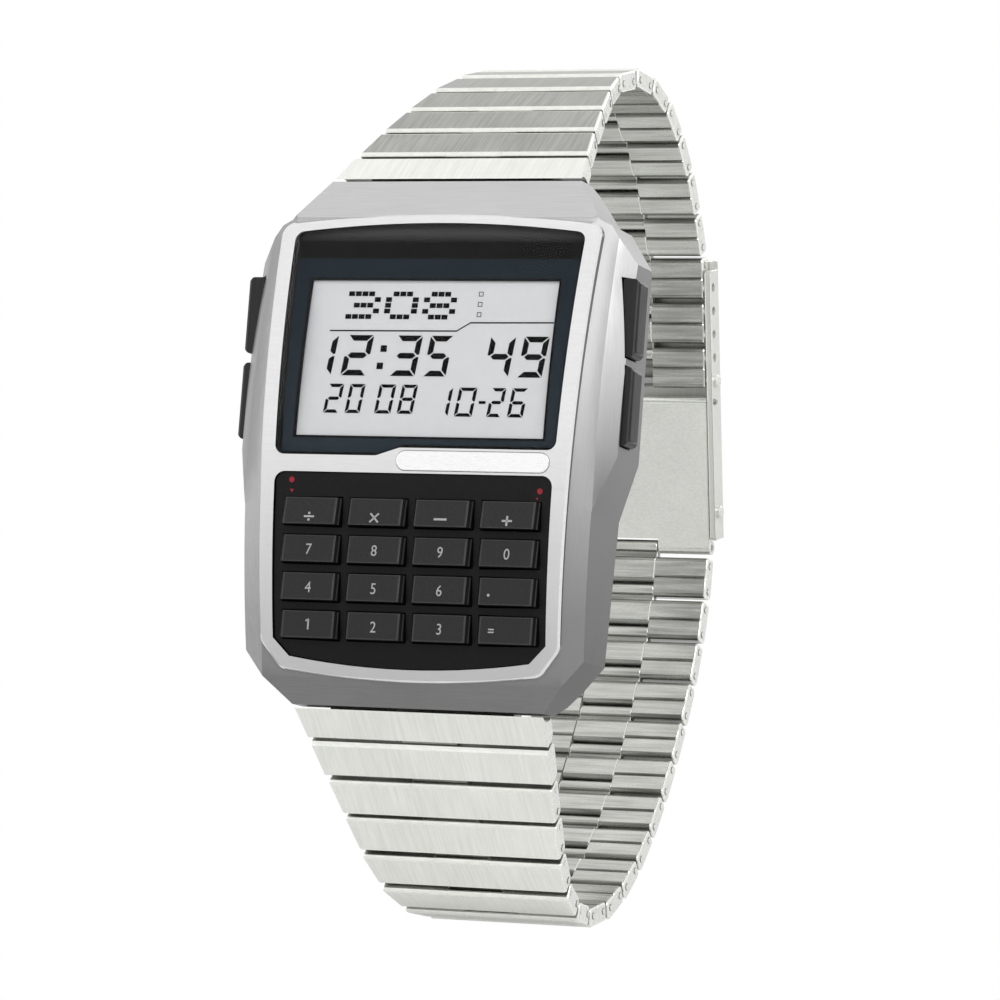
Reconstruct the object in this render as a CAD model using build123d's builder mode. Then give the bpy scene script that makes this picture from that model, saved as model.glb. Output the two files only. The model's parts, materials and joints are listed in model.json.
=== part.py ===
from build123d import *
from math import atan2, cos, degrees, hypot, radians, sin, sqrt
import os

# Calculator watch on a folded-link bracelet, closed round a wrist.
# X points to three o'clock, Z to twelve o'clock and Y into the wrist.
# The origin is the middle of the case back, which lies in the plane Y = 0. All sizes are in millimetres.

os.makedirs("parts", exist_ok=True)

# Case, driving sizes
case_length = 48.2
case_depth = 8.8
case_half_width = 18.4
case_end_half_width = 12.3
face_radius = 88.0
face_crown_drop = 0.5
overrun = 3.0
fit_gap = 0.05
sliding_gap = 0.08
small_round_sides = 8
knuckle_sides = 12

# Raised bezel round the display and the keys
bezel_height = 0.4
bezel_top_half_width = 15.75
bezel_foot_half_width = 14.6
bezel_top_z = 19.7
bezel_top_arch = 0.9
bezel_side_end_z = -18.7
bezel_corner_half_width = 12.7
bezel_foot_z = -21.1
bezel_foot_arch = 0.85
bezel_corner_radius = 1.3
bezel_edge = 0.2

# Flanks of the case, from the twelve o'clock end to the six o'clock end
top_corner_half_width = 15.1
top_corner_drop = 3.9
flare_start_half_width = 16.2
flare_start_drop = 4.4
flare_end_drop = 7.7
waist_start_z = -1.2
waist_half_width = 16.9
waist_z = -6.4
foot_flank_half_width = 16.5
foot_flank_rise = 4.6
foot_corner_half_width = 14.6
foot_corner_rise = 2.3
shoulder_depth = 2.6
shoulder_bulge = 0.45
slope_top_drop = 3.75
slope_foot_rise = 2.3
slope_end_depth = 5.0
back_edge = 0.5
end_back_bevel = 0.9

# Display window, glass and liquid crystal panel
window_top_half_width = 14.25
window_foot_half_width = 13.65
window_top_z = 18.85
window_top_arch = 0.9
window_foot_z = -1.15
window_step = 0.75
window_step_left_x = -3.7
window_step_right_x = -1.4
window_corner_radius = 0.9
glass_thickness = 0.8
glass_recess = 0.1
mask_thickness = 0.25
window_ledge = 0.75
lcd_view_half_width = 12.1
lcd_view_top_z = 14.35
lcd_view_foot_z = -0.05
lcd_margin = 0.3
lcd_thickness = 1.0

# Oval plate between the display and the keys
plate_length = 14.8
plate_width = 1.8
plate_thickness = 0.35
plate_centre_x = 5.75
plate_centre_z = -2.3
plate_proud = 0.1

# Key panel and keys
keypad_half_width = 13.55
keypad_foot_half_width = 13.3
keypad_top_z = -3.45
keypad_side_end_z = -18.4
keypad_corner_cut = 1.6
keypad_foot_arch = 0.9
keypad_corner_radius = 1.0
keypad_thickness = 1.0
keypad_recess = 0.2
keypad_ledge = 0.35
key_width = 5.65
key_height = 2.45
key_pitch_x = 6.42
key_pitch_z = 3.38
keys_centre_x = 0.05
top_row_z = -7.05
key_low_proud = 0.55
key_high_proud = 1.05
key_side_bevel = 0.35
key_flange = 0.12
sheet_margin = 0.4
key_flange_gap = 0.03
key_flange_thickness = 0.4
key_travel = 0.35
key_stop_gap = 0.07
membrane_thickness = 0.5
key_columns = 4
key_rows = 4

# Pushers in the flanks
pusher_length = 7.1
pusher_height = 2.3
pusher_gap_between = 0.85
pusher_pair_z = 7.4
pusher_proud = 0.85
pusher_inset = 0.75
pusher_bevel = 0.45
pusher_travel = 0.5
pusher_clearance = 0.12
pusher_stem_drop = 1.0
pusher_stem_offset = 0.35
pusher_stem_radius = 0.5
pusher_stem_end_x = 13.8
pusher_ring_radius = 0.85
pusher_ring_thickness = 0.4
pusher_edge = 0.2

# Cavity, case back and what lies inside
cavity_half_width = 14.3
cavity_top_z = 18.9
cavity_foot_z = -19.6
cavity_roof_depth = 3.9
cavity_corner_cut = 2.4
back_thickness = 0.9
back_plateau = 0.3
back_lap = 1.3
back_corner_cut = 1.3
plateau_inset = 2.2
gasket_width = 0.4
gasket_thickness = 0.35
gasket_inset = 0.05
screw_head_radius = 0.8
screw_head_height = 0.25
screw_shank_radius = 0.4
screw_length = 1.9
screw_inset = 0.25
slot_width = 0.25
slot_depth = 0.15
board_thickness_share = 0.15
board_edge_gap = 0.1
frame_wall = 0.9
frame_web_share = 0.275
frame_foot_gap = 0.15
frame_notch = 1.1
frame_edge_gap = 0.15
battery_radius = 10.0
battery_thickness_share = 0.4
battery_z = 6.0
battery_gap = 0.4
clip_thickness = 0.25
clip_width = 3.2
clip_foot = 1.2

# Folded links of the bracelet
link_pitch = 4.4
link_gap = 0.4
link_thickness = 1.85
link_bevel = 0.32
link_inner_bevel = 0.42
link_skin = 0.45
link_pin_radius = 0.3
link_pin_inset = 0.7
link_pin_drop = 0.2
link_seam = 0.12
connector_width = 5.4
connector_side_gap = 0.06
connector_eye = 0.58
connector_flat = 0.24
connector_start = 1.3
connector_seat_gap = 0.02
band_half_width = 12.2
upper_taper_links = 5
lower_taper_links = 7
clasp_half_width = 8.2
hinge_clearance = 0.05

# Bracelet ends at the case
bar_end_inset = 1.4
bar_depth = 2.45
bar_radius = 0.6
bar_tip_radius = 0.35
bar_tip_length = 0.9
barrel_radius = 0.95
barrel_half_length = 9.0
band_start_y = -3.72
band_start_gap = 0.12
band_relief_radius = 2.0
barrel_reach_high = 1.2
barrel_reach = 1.9
slot_clearance = 0.15
tip_hole_gap = 0.05

# Directions of the links, in degrees from the case's axis towards the wrist, link by link
upper_turns = (46, 49, 52, 55, 63, 73, 90, 108, 123, 133, 142, 147)
lower_turns = (45, 44, 45, 46, 55, 71, 88, 104, 120, 131, 139, 145, 150, 154, 158, 163, 170, 178)
# How many links each moving piece of the bracelet holds
upper_groups = (1, 2, 1, 1, 1, 1, 1, 2, 2)
lower_groups = (2, 2, 1, 1, 1, 1, 1, 1, 2, 2, 2, 2)
captured_links = 3

# Fold-over clasp
cover_start = 0.3
cover_end_gap = 0.8
cover_thickness = 0.6
cover_side_gap = 0.2
cover_roof_gap = 0.18
cover_edge = 0.35
cover_wall_reach = 0.8
cover_wall_start = 0.5
adjust_hole_radius = 0.42
adjust_hole_pitch = 2.3
adjust_hole_count = 5
clasp_bar_radius = 0.4
clasp_bar_inset = 0.7
clasp_pin_proud = 0.25
blade_thickness = 0.5
blade_side_gap = 0.1
blade_hinge_gap = 1.35
blade_hinge_drop = 0.35
blade_curl_radius = 0.5
blade_pin_radius = 0.25
blade_inner_drop = 0.75
blade_rib_width = 1.2
blade_rib_height = 0.35
blade_rib_inset = 1.8
knuckle_radius = 0.7
knuckle_gap = 0.2
knuckle_notch = 0.9
end_bar_tip_gap = 0.06

# Measures that follow from the sizes above
case_half_length = case_length / 2
bar_z = case_half_length - bar_end_inset
lip_y = -case_depth + slope_end_depth
glass_back = glass_recess + glass_thickness
mask_front = glass_back + fit_gap
mask_back = mask_front + mask_thickness
keypad_back = keypad_recess + keypad_thickness
flange_front = keypad_back + key_flange_gap
flange_back = flange_front + key_flange_thickness
membrane_front = flange_back + key_travel + key_stop_gap
membrane_back = membrane_front + membrane_thickness
cavity_roof_y = -case_depth + cavity_roof_depth
cavity_height = -back_thickness - cavity_roof_y
frame_top_y = cavity_roof_y + frame_edge_gap
board_front_y = frame_top_y + frame_web_share * cavity_height
board_back_y = board_front_y + board_thickness_share * cavity_height
battery_thickness = battery_thickness_share * cavity_height
battery_back_y = board_back_y + battery_thickness
pusher_stem_y = cavity_roof_y + pusher_stem_drop
pusher_depth_y = pusher_stem_y - pusher_stem_offset
flange_y = -back_plateau
pusher_rest_x = case_half_width - pusher_inset
pusher_reach = pusher_inset + pusher_proud
plate_length_share = (link_pitch - link_gap) / link_pitch
corner_growth_share = 2 - sqrt(2)
link_near = -link_pin_inset
link_far = link_near + link_pitch - link_gap
link_high = link_thickness / 2 + link_pin_drop
link_low = link_pin_drop - link_thickness / 2
skin_low = link_high - link_skin
pocket_half_width = connector_width / 2 + connector_side_gap
tongue_start_gap = barrel_reach + hinge_clearance


def face_y(z, below=0.0):
    """Depth of the face, a large cylinder that lies along X, at a height."""
    reach = z + face_crown_drop
    return below - case_depth + face_radius - sqrt(face_radius**2 - reach**2)


def face_block(outline, below, thickness):
    """Block of a given outline between two surfaces that follow the face."""
    high, low, middle = case_half_length, -case_half_length, -face_crown_drop
    back = below + thickness
    with BuildPart() as block:
        with BuildSketch(Plane.YZ):
            with BuildLine():
                ThreePointArc(
                    (face_y(low, below), low),
                    (face_y(middle, below), middle),
                    (face_y(high, below), high),
                )
                Line((face_y(high, below), high), (face_y(high, back), high))
                ThreePointArc(
                    (face_y(high, back), high),
                    (face_y(middle, back), middle),
                    (face_y(low, back), low),
                )
                Line((face_y(low, back), low), (face_y(low, below), low))
            make_face()
        extrude(amount=case_half_width, both=True)
        with BuildSketch(Plane.XZ.offset(-overrun)):
            add(outline)
        extrude(amount=case_depth + 2 * overrun, mode=Mode.INTERSECT)
    return block.part


def flat_block(outline, front_y, back_y):
    """Block of a given outline between two planes across the case."""
    with BuildPart() as block:
        with BuildSketch(Plane.XZ.offset(-back_y)):
            add(outline)
        extrude(amount=back_y - front_y)
    return block.part


def window_outline(inset):
    """Outline of the display window, drawn in by an inset."""
    with BuildSketch() as outline:
        left_foot = window_foot_z - window_step
        with BuildLine():
            Polyline(
                (-window_top_half_width, window_top_z),
                (-window_foot_half_width, left_foot),
                (window_step_left_x, left_foot),
                (window_step_right_x, window_foot_z),
                (window_foot_half_width, window_foot_z),
                (window_top_half_width, window_top_z),
            )
            ThreePointArc(
                (window_top_half_width, window_top_z),
                (0, window_top_z + window_top_arch),
                (-window_top_half_width, window_top_z),
            )
        make_face()
        corners = outline.vertices().sort_by(Axis.X)
        fillet(corners[:2] + corners[-2:], radius=window_corner_radius)
        if inset:
            offset(amount=-inset, kind=Kind.INTERSECTION)
    return outline.sketch


def keypad_outline(inset):
    """Outline of the key panel, drawn in by an inset."""
    foot_z = keypad_side_end_z - keypad_corner_cut
    foot_half_width = keypad_foot_half_width - keypad_corner_cut
    with BuildSketch() as outline:
        with BuildLine():
            Polyline(
                (foot_half_width, foot_z),
                (keypad_foot_half_width, keypad_side_end_z),
                (keypad_half_width, keypad_top_z),
                (-keypad_half_width, keypad_top_z),
                (-keypad_foot_half_width, keypad_side_end_z),
                (-foot_half_width, foot_z),
            )
            ThreePointArc(
                (-foot_half_width, foot_z),
                (0, foot_z - keypad_foot_arch),
                (foot_half_width, foot_z),
            )
        make_face()
        fillet(outline.vertices().sort_by(Axis.Y)[-2:], radius=keypad_corner_radius)
        if inset:
            offset(amount=-inset, kind=Kind.INTERSECTION)
    return outline.sketch


def plain_outline(half_width, high_z, low_z, corner_cut=0.0, middle_x=0.0):
    """Rectangle between two heights with its corners cut off where asked."""
    with BuildSketch() as outline:
        with Locations((middle_x, (high_z + low_z) / 2)):
            Rectangle(2 * half_width, high_z - low_z)
        if corner_cut:
            chamfer(outline.vertices(), length=corner_cut)
    return outline.sketch


def back_outline(grow, corner_cut):
    """Rectangle of the cavity, grown on all sides, with its corners cut off."""
    return plain_outline(cavity_half_width + grow, cavity_top_z + grow, cavity_foot_z - grow, corner_cut)


def cavity_outline(grow):
    """Outline of the cavity, grown evenly on all sides."""
    return back_outline(grow, cavity_corner_cut + corner_growth_share * grow)


def round_outline(x, z, radius, bored=False):
    """Small round with flat sides. The flats of a bore keep clear of the corners of its pin."""
    with BuildSketch() as outline:
        with Locations((x, z)):
            RegularPolygon(radius, small_round_sides, major_radius=not bored)
    return outline.sketch


def cross_bar(y, z, radius, low_x, high_x, bored=False):
    """Small round bar along X between two places."""
    with BuildPart() as bar:
        with BuildSketch(Plane.YZ.offset(low_x)):
            add(round_outline(y, z, radius, bored))
        extrude(amount=high_x - low_x)
    return bar.part


def label_block(grow, proud, depth):
    """Block of the oval label plate, square to the face at its middle."""
    lean = atan2(plate_centre_z + face_crown_drop, face_radius)
    middle = (plate_centre_x, face_y(plate_centre_z), plate_centre_z)
    seat = Plane(origin=middle, x_dir=(1, 0, 0), z_dir=(0, -cos(lean), sin(lean)))
    with BuildPart() as block:
        with BuildSketch(seat.offset(-depth)):
            SlotOverall(plate_length + 2 * grow, plate_width + 2 * grow)
        extrude(amount=depth + proud)
    return block.part


def key_centre(row, column):
    x = keys_centre_x + (column - (key_columns - 1) / 2) * key_pitch_x
    return x, top_row_z - row * key_pitch_z


# Bezel, which stands on the shoulders and follows the face
with BuildSketch() as bezel_outline:
    with BuildLine():
        Polyline(
            (bezel_corner_half_width, bezel_foot_z),
            (bezel_foot_half_width, bezel_side_end_z),
            (bezel_top_half_width, bezel_top_z),
        )
        ThreePointArc(
            (bezel_top_half_width, bezel_top_z),
            (0, bezel_top_z + bezel_top_arch),
            (-bezel_top_half_width, bezel_top_z),
        )
        Polyline(
            (-bezel_top_half_width, bezel_top_z),
            (-bezel_foot_half_width, bezel_side_end_z),
            (-bezel_corner_half_width, bezel_foot_z),
        )
        ThreePointArc(
            (-bezel_corner_half_width, bezel_foot_z),
            (0, bezel_foot_z - bezel_foot_arch),
            (bezel_corner_half_width, bezel_foot_z),
        )
    make_face()
    fillet(bezel_outline.vertices(), radius=bezel_corner_radius)
with BuildPart() as bezel:
    add(face_block(bezel_outline.sketch, 0, slope_end_depth))
    chamfer(bezel.faces().sort_by(Axis.Y)[0].edges(), length=bezel_edge)

screw_places = []
for screw_z in (cavity_foot_z + screw_inset, cavity_top_z - screw_inset):
    for side in (-1, 1):
        screw_places.append((side * (cavity_half_width - screw_inset), screw_z))

# Case body
face_centre = (0, face_radius - case_depth, -face_crown_drop)
sweep_angle = atan2(case_half_length, face_radius - case_depth)
with BuildPart() as case_body:
    # Shoulders: one cross section turned about the far axis of the face
    start_plane = Plane(
        origin=face_centre, x_dir=(1, 0, 0), z_dir=(0, -sin(sweep_angle), -cos(sweep_angle))
    )
    with BuildSketch(start_plane):
        top_radius = face_radius - bezel_height
        flank_radius = top_radius - shoulder_depth
        base_radius = face_radius - case_depth - overrun
        Polygon(
            (case_half_width, flank_radius),
            (
                (case_half_width + bezel_foot_half_width) / 2 + shoulder_bulge,
                (top_radius + flank_radius) / 2 + shoulder_bulge,
            ),
            (bezel_foot_half_width, top_radius),
            (0, top_radius),
            (0, base_radius),
            (case_half_width, base_radius),
            align=None,
        )
        mirror(about=Plane.YZ)
    revolve(axis=Axis(face_centre, (1, 0, 0)), revolution_arc=2 * degrees(sweep_angle))
    # Outline seen from the front
    with BuildSketch(Plane.XZ.offset(-overrun)):
        Polygon(
            (0, case_half_length),
            (case_end_half_width, case_half_length),
            (top_corner_half_width, case_half_length - top_corner_drop),
            (flare_start_half_width, case_half_length - flare_start_drop),
            (case_half_width, case_half_length - flare_end_drop),
            (case_half_width, waist_start_z),
            (waist_half_width, waist_z),
            (foot_flank_half_width, foot_flank_rise - case_half_length),
            (foot_corner_half_width, foot_corner_rise - case_half_length),
            (case_end_half_width, -case_half_length),
            (0, -case_half_length),
            align=None,
        )
        mirror(about=Plane.YZ)
    extrude(amount=case_depth + 2 * overrun, mode=Mode.INTERSECT)
    # Side view: the two end slopes and the flat back
    slope_top_z = case_half_length - slope_top_drop
    slope_foot_z = slope_foot_rise - case_half_length
    with BuildSketch(Plane.YZ):
        Polygon(
            (-back_edge, case_half_length - end_back_bevel),
            (-back_edge - end_back_bevel, case_half_length),
            (lip_y, case_half_length),
            (face_y(slope_top_z, bezel_height), slope_top_z),
            (-case_depth - overrun, slope_top_z),
            (-case_depth - overrun, slope_foot_z),
            (face_y(slope_foot_z, bezel_height), slope_foot_z),
            (lip_y, -case_half_length),
            (-back_edge - end_back_bevel, -case_half_length),
            (-back_edge, end_back_bevel - case_half_length),
            align=None,
        )
    extrude(amount=case_half_width + overrun, both=True, mode=Mode.INTERSECT)
    add(bezel.part)
    # Seats of the glass, the key panel and the label plate, the first two with a ledge
    add(face_block(window_outline(0), -overrun, mask_back + overrun), mode=Mode.SUBTRACT)
    add(face_block(keypad_outline(0), -overrun, keypad_back + overrun), mode=Mode.SUBTRACT)
    add(label_block(fit_gap, overrun, plate_thickness - plate_proud), mode=Mode.SUBTRACT)
    front_y = -case_depth - overrun
    add(flat_block(window_outline(window_ledge), front_y, cavity_roof_y), mode=Mode.SUBTRACT)
    add(flat_block(keypad_outline(keypad_ledge), front_y, cavity_roof_y), mode=Mode.SUBTRACT)
    # Cavity, seat of the case back, groove of the gasket and screw holes
    add(flat_block(cavity_outline(0), cavity_roof_y, overrun), mode=Mode.SUBTRACT)
    add(
        flat_block(back_outline(back_lap + fit_gap, back_corner_cut), -back_thickness, overrun),
        mode=Mode.SUBTRACT,
    )
    groove_front_y = -back_thickness - gasket_thickness
    groove_rim = flat_block(cavity_outline(gasket_inset + gasket_width), groove_front_y, 0)
    groove_core = flat_block(cavity_outline(gasket_inset), -case_depth, overrun)
    add(groove_rim - groove_core, mode=Mode.SUBTRACT)
    # Pusher pockets, each with a bore to the cavity
    for side in (-1, 1):
        for shift in (-1, 1):
            middle_z = pusher_pair_z + shift * (pusher_length + pusher_gap_between) / 2
            pocket_floor_x = pusher_rest_x - pusher_travel - pusher_clearance
            with Locations((side * (pocket_floor_x + overrun), pusher_depth_y, middle_z)):
                Box(
                    2 * overrun,
                    pusher_height + 2 * pusher_clearance,
                    pusher_length + 2 * pusher_clearance,
                    mode=Mode.SUBTRACT,
                )
            bore_low_x, bore_high_x = sorted((side * (cavity_half_width - overrun), side * case_half_width))
            add(
                cross_bar(
                    pusher_stem_y, middle_z, pusher_stem_radius + fit_gap, bore_low_x, bore_high_x, True
                ),
                mode=Mode.SUBTRACT,
            )
    # Slots for the ends of the bracelet and holes for the bar tips
    for side in (-1, 1):
        slot_inner_z = bar_z - barrel_radius - slot_clearance
        slot_roof_y = -bar_depth - barrel_radius - slot_clearance
        with Locations((0, slot_roof_y + case_depth / 2, side * (slot_inner_z + overrun))):
            Box(
                2 * (barrel_half_length + slot_clearance),
                case_depth,
                2 * overrun,
                mode=Mode.SUBTRACT,
            )
        tip_hole_x = barrel_half_length + bar_tip_length + tip_hole_gap
        tip_hole_radius = bar_tip_radius + tip_hole_gap
        add(
            cross_bar(-bar_depth, side * bar_z, tip_hole_radius, -tip_hole_x, tip_hole_x, True),
            mode=Mode.SUBTRACT,
        )
    for screw_x, screw_z in screw_places:
        screw_hole = round_outline(screw_x, screw_z, screw_shank_radius + fit_gap, True)
        add(flat_block(screw_hole, flange_y - screw_length - fit_gap, 0), mode=Mode.SUBTRACT)
case_body.part.label = "case_body"
export_step(case_body.part, "parts/case_body.step")

# Glass of the display
with BuildPart() as display_window:
    add(face_block(window_outline(fit_gap), glass_recess, glass_thickness))
display_window.part.label = "display_window"
export_step(display_window.part, "parts/display_window.step")

# Printed frame behind the glass with an opening over the panel
with BuildPart() as display_mask:
    view = plain_outline(lcd_view_half_width, lcd_view_top_z, lcd_view_foot_z)
    add(face_block(window_outline(fit_gap), mask_front, mask_thickness))
    add(flat_block(view, front_y, cavity_roof_y), mode=Mode.SUBTRACT)
display_mask.part.label = "display_mask"
export_step(display_mask.part, "parts/display_mask.step")

# Flat liquid crystal panel that touches the frame at its two ends
panel_high_z = lcd_view_top_z + lcd_margin
panel_low_z = lcd_view_foot_z - lcd_margin
panel_high_y = face_y(panel_high_z, mask_back)
panel_low_y = face_y(panel_low_z, mask_back)
with BuildPart() as lcd_panel:
    with BuildSketch(Plane.YZ):
        Polygon(
            (panel_low_y, panel_low_z),
            (panel_high_y, panel_high_z),
            (panel_high_y + lcd_thickness, panel_high_z),
            (panel_low_y + lcd_thickness, panel_low_z),
            align=None,
        )
    extrude(amount=lcd_view_half_width + lcd_margin, both=True)
lcd_panel.part.label = "lcd_panel"
export_step(lcd_panel.part, "parts/lcd_panel.step")

# Oval label plate, left blank
with BuildPart() as label_plate:
    add(label_block(0, plate_proud, plate_thickness - plate_proud))
label_plate.part.label = "label_plate"
export_step(label_plate.part, "parts/label_plate.step")

# Key panel with an aperture for each key
with BuildPart() as keypad_panel:
    add(face_block(keypad_outline(fit_gap), keypad_recess, keypad_thickness))
    for row in range(key_rows):
        for column in range(key_columns):
            key_x, key_z = key_centre(row, column)
            half_height = key_height / 2 + sliding_gap
            aperture = plain_outline(
                key_width / 2 + sliding_gap, key_z + half_height, key_z - half_height, 0, key_x
            )
            add(flat_block(aperture, front_y, cavity_roof_y), mode=Mode.SUBTRACT)
keypad_panel.part.label = "keypad_panel"
export_step(keypad_panel.part, "parts/keypad_panel.step")

# Keys, each a wedge with a flange that holds it behind the panel
key_marks = (
    ("divide", "multiply", "minus", "plus"),
    ("7", "8", "9", "0"),
    ("4", "5", "6", "point"),
    ("1", "2", "3", "equals"),
)
for row in range(key_rows):
    for column in range(key_columns):
        key_x, key_z = key_centre(row, column)
        high_z = key_z + key_height / 2
        low_z = key_z - key_height / 2
        flange_high_z = high_z + key_flange
        flange_low_z = low_z - key_flange
        with BuildPart() as key:
            with BuildSketch(Plane.YZ.offset(key_x)):
                Polygon(
                    (face_y(low_z, flange_back), low_z),
                    (face_y(high_z, flange_back), high_z),
                    (face_y(high_z, keypad_recess - key_low_proud), high_z),
                    (face_y(low_z, keypad_recess - key_high_proud), low_z),
                    align=None,
                )
            extrude(amount=key_width / 2, both=True)
            long_edges = key.faces().sort_by(Axis.Y)[0].edges().sort_by(Axis.X)
            chamfer([long_edges[0], long_edges[-1]], length=key_side_bevel)
            with BuildSketch(Plane.YZ.offset(key_x)):
                Polygon(
                    (face_y(flange_low_z, flange_front), flange_low_z),
                    (face_y(flange_high_z, flange_front), flange_high_z),
                    (face_y(flange_high_z, flange_back), flange_high_z),
                    (face_y(flange_low_z, flange_back), flange_low_z),
                    align=None,
                )
            extrude(amount=key_width / 2 + key_flange, both=True)
        name = "key_" + key_marks[row][column]
        key.part.label = name
        export_step(key.part, "parts/" + name + ".step")

# Rubber contact sheet behind the keys
lowest_key_z = key_centre(key_rows - 1, 0)[1]
sheet_high_z = keypad_top_z - keypad_ledge - fit_gap
sheet_low_z = lowest_key_z - key_height / 2 - key_flange - sheet_margin
sheet_half_width = keypad_foot_half_width - keypad_ledge - sheet_margin
with BuildPart() as keypad_membrane:
    sheet = plain_outline(sheet_half_width, sheet_high_z, sheet_low_z, sheet_margin)
    add(face_block(sheet, membrane_front, membrane_thickness))
keypad_membrane.part.label = "keypad_membrane"
export_step(keypad_membrane.part, "parts/keypad_membrane.step")

# Pushers
for side, side_word in ((1, "right"), (-1, "left")):
    for shift, height_word in ((1, "upper"), (-1, "lower")):
        middle_z = pusher_pair_z + shift * (pusher_length + pusher_gap_between) / 2
        half_length = pusher_length / 2
        outer_x = side * (pusher_rest_x + pusher_reach)
        bevel_x = outer_x - side * pusher_bevel
        inner_x = side * pusher_rest_x
        with BuildPart() as pusher:
            with BuildSketch(Plane.XZ.offset(-pusher_depth_y - pusher_height / 2)):
                Polygon(
                    (inner_x, middle_z - half_length),
                    (bevel_x, middle_z - half_length),
                    (outer_x, middle_z - half_length + pusher_bevel),
                    (outer_x, middle_z + half_length - pusher_bevel),
                    (bevel_x, middle_z + half_length),
                    (inner_x, middle_z + half_length),
                    align=None,
                )
            extrude(amount=pusher_height)
            cap_face = pusher.faces().sort_by(Axis.X)[-1 if side > 0 else 0]
            chamfer(cap_face.edges().filter_by(Axis.Z), length=pusher_edge)
            stem_low_x, stem_high_x = sorted((side * pusher_stem_end_x, inner_x))
            add(cross_bar(pusher_stem_y, middle_z, pusher_stem_radius, stem_low_x, stem_high_x))
            ring_outer_x = side * (cavity_half_width - fit_gap)
            ring_low_x, ring_high_x = sorted((ring_outer_x, ring_outer_x - side * pusher_ring_thickness))
            add(cross_bar(pusher_stem_y, middle_z, pusher_ring_radius, ring_low_x, ring_high_x))
        name = "pusher_" + height_word + "_" + side_word
        pusher.part.label = name
        export_step(pusher.part, "parts/" + name + ".step")

# Plastic frame of the movement, with seats for the panel and the contact sheet
with BuildPart() as module_frame:
    frame_foot_y = -back_thickness - frame_foot_gap
    frame_hollow = cavity_outline(-frame_edge_gap - frame_wall)
    add(flat_block(cavity_outline(-frame_edge_gap), frame_top_y, frame_foot_y))
    add(flat_block(frame_hollow, board_front_y, 0), mode=Mode.SUBTRACT)
    with BuildSketch(Plane.YZ):
        Polygon(
            (panel_low_y + lcd_thickness, panel_low_z),
            (panel_high_y + lcd_thickness, panel_high_z),
            (board_front_y, panel_high_z),
            (board_front_y, panel_low_z),
            align=None,
        )
    extrude(amount=lcd_view_half_width, both=True)
    add(flat_block(sheet, -case_depth, board_front_y))
    seat = plain_outline(sheet_half_width + fit_gap, sheet_high_z + fit_gap, sheet_low_z - fit_gap)
    add(face_block(seat, -overrun, membrane_back + overrun), mode=Mode.SUBTRACT)
    for side in (-1, 1):
        for shift in (-1, 1):
            middle_z = pusher_pair_z + shift * (pusher_length + pusher_gap_between) / 2
            notch_x = pusher_stem_end_x - pusher_travel - board_edge_gap + overrun
            with Locations((side * notch_x, pusher_stem_y, middle_z)):
                Box(2 * overrun, 2 * frame_notch, 2 * frame_notch, mode=Mode.SUBTRACT)
module_frame.part.label = "module_frame"
export_step(module_frame.part, "parts/module_frame.step")

# Circuit board
board_inset = frame_edge_gap + frame_wall + board_edge_gap
with BuildPart() as circuit_board:
    add(flat_block(cavity_outline(-board_inset), board_front_y, board_back_y))
circuit_board.part.label = "circuit_board"
export_step(circuit_board.part, "parts/circuit_board.step")

# Button cell and the strap that holds it on the board
with BuildPart() as battery_cell:
    with BuildSketch(Plane.XZ.offset(-battery_back_y)):
        with Locations((0, battery_z)):
            Circle(battery_radius)
    extrude(amount=battery_thickness)
battery_cell.part.label = "battery_cell"
export_step(battery_cell.part, "parts/battery_cell.step")

strap_inner_x = battery_radius + battery_gap
strap_outer_x = strap_inner_x + clip_thickness
with BuildPart() as battery_clip:
    with BuildSketch(Plane.XY.offset(battery_z - clip_width / 2)):
        Polygon(
            (0, battery_back_y + clip_thickness),
            (strap_outer_x, battery_back_y + clip_thickness),
            (strap_outer_x, board_back_y + clip_thickness),
            (strap_outer_x + clip_foot, board_back_y + clip_thickness),
            (strap_outer_x + clip_foot, board_back_y),
            (strap_inner_x, board_back_y),
            (strap_inner_x, battery_back_y),
            (0, battery_back_y),
            align=None,
        )
        mirror(about=Plane.YZ)
    extrude(amount=clip_width)
battery_clip.part.label = "battery_clip"
export_step(battery_clip.part, "parts/battery_clip.step")

# Case back with a raised middle, its gasket and its screws
with BuildPart() as case_back:
    add(flat_block(back_outline(back_lap, back_corner_cut), -back_thickness, flange_y))
    add(flat_block(cavity_outline(back_lap - plateau_inset), -back_thickness, 0))
    for screw_x, screw_z in screw_places:
        screw_hole = round_outline(screw_x, screw_z, screw_shank_radius + fit_gap, True)
        add(flat_block(screw_hole, -case_depth, 0), mode=Mode.SUBTRACT)
case_back.part.label = "case_back"
export_step(case_back.part, "parts/case_back.step")

with BuildPart() as back_gasket:
    ring_rim = cavity_outline(gasket_inset + gasket_width)
    add(flat_block(ring_rim, groove_front_y, -back_thickness))
    add(flat_block(cavity_outline(gasket_inset), -case_depth, 0), mode=Mode.SUBTRACT)
back_gasket.part.label = "back_gasket"
export_step(back_gasket.part, "parts/back_gasket.step")

with BuildPart() as case_back_screws:
    head_back_y = flange_y + screw_head_height
    for screw_x, screw_z in screw_places:
        head = round_outline(screw_x, screw_z, screw_head_radius)
        shank = round_outline(screw_x, screw_z, screw_shank_radius)
        add(flat_block(head, flange_y, head_back_y))
        add(flat_block(shank, flange_y - screw_length, flange_y))
        with Locations((screw_x, head_back_y, screw_z)):
            Box(2 * screw_head_radius, 2 * slot_depth, slot_width, mode=Mode.SUBTRACT)
case_back_screws.part.label = "case_back_screws"
export_step(case_back_screws.part, "parts/case_back_screws.step")

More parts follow.
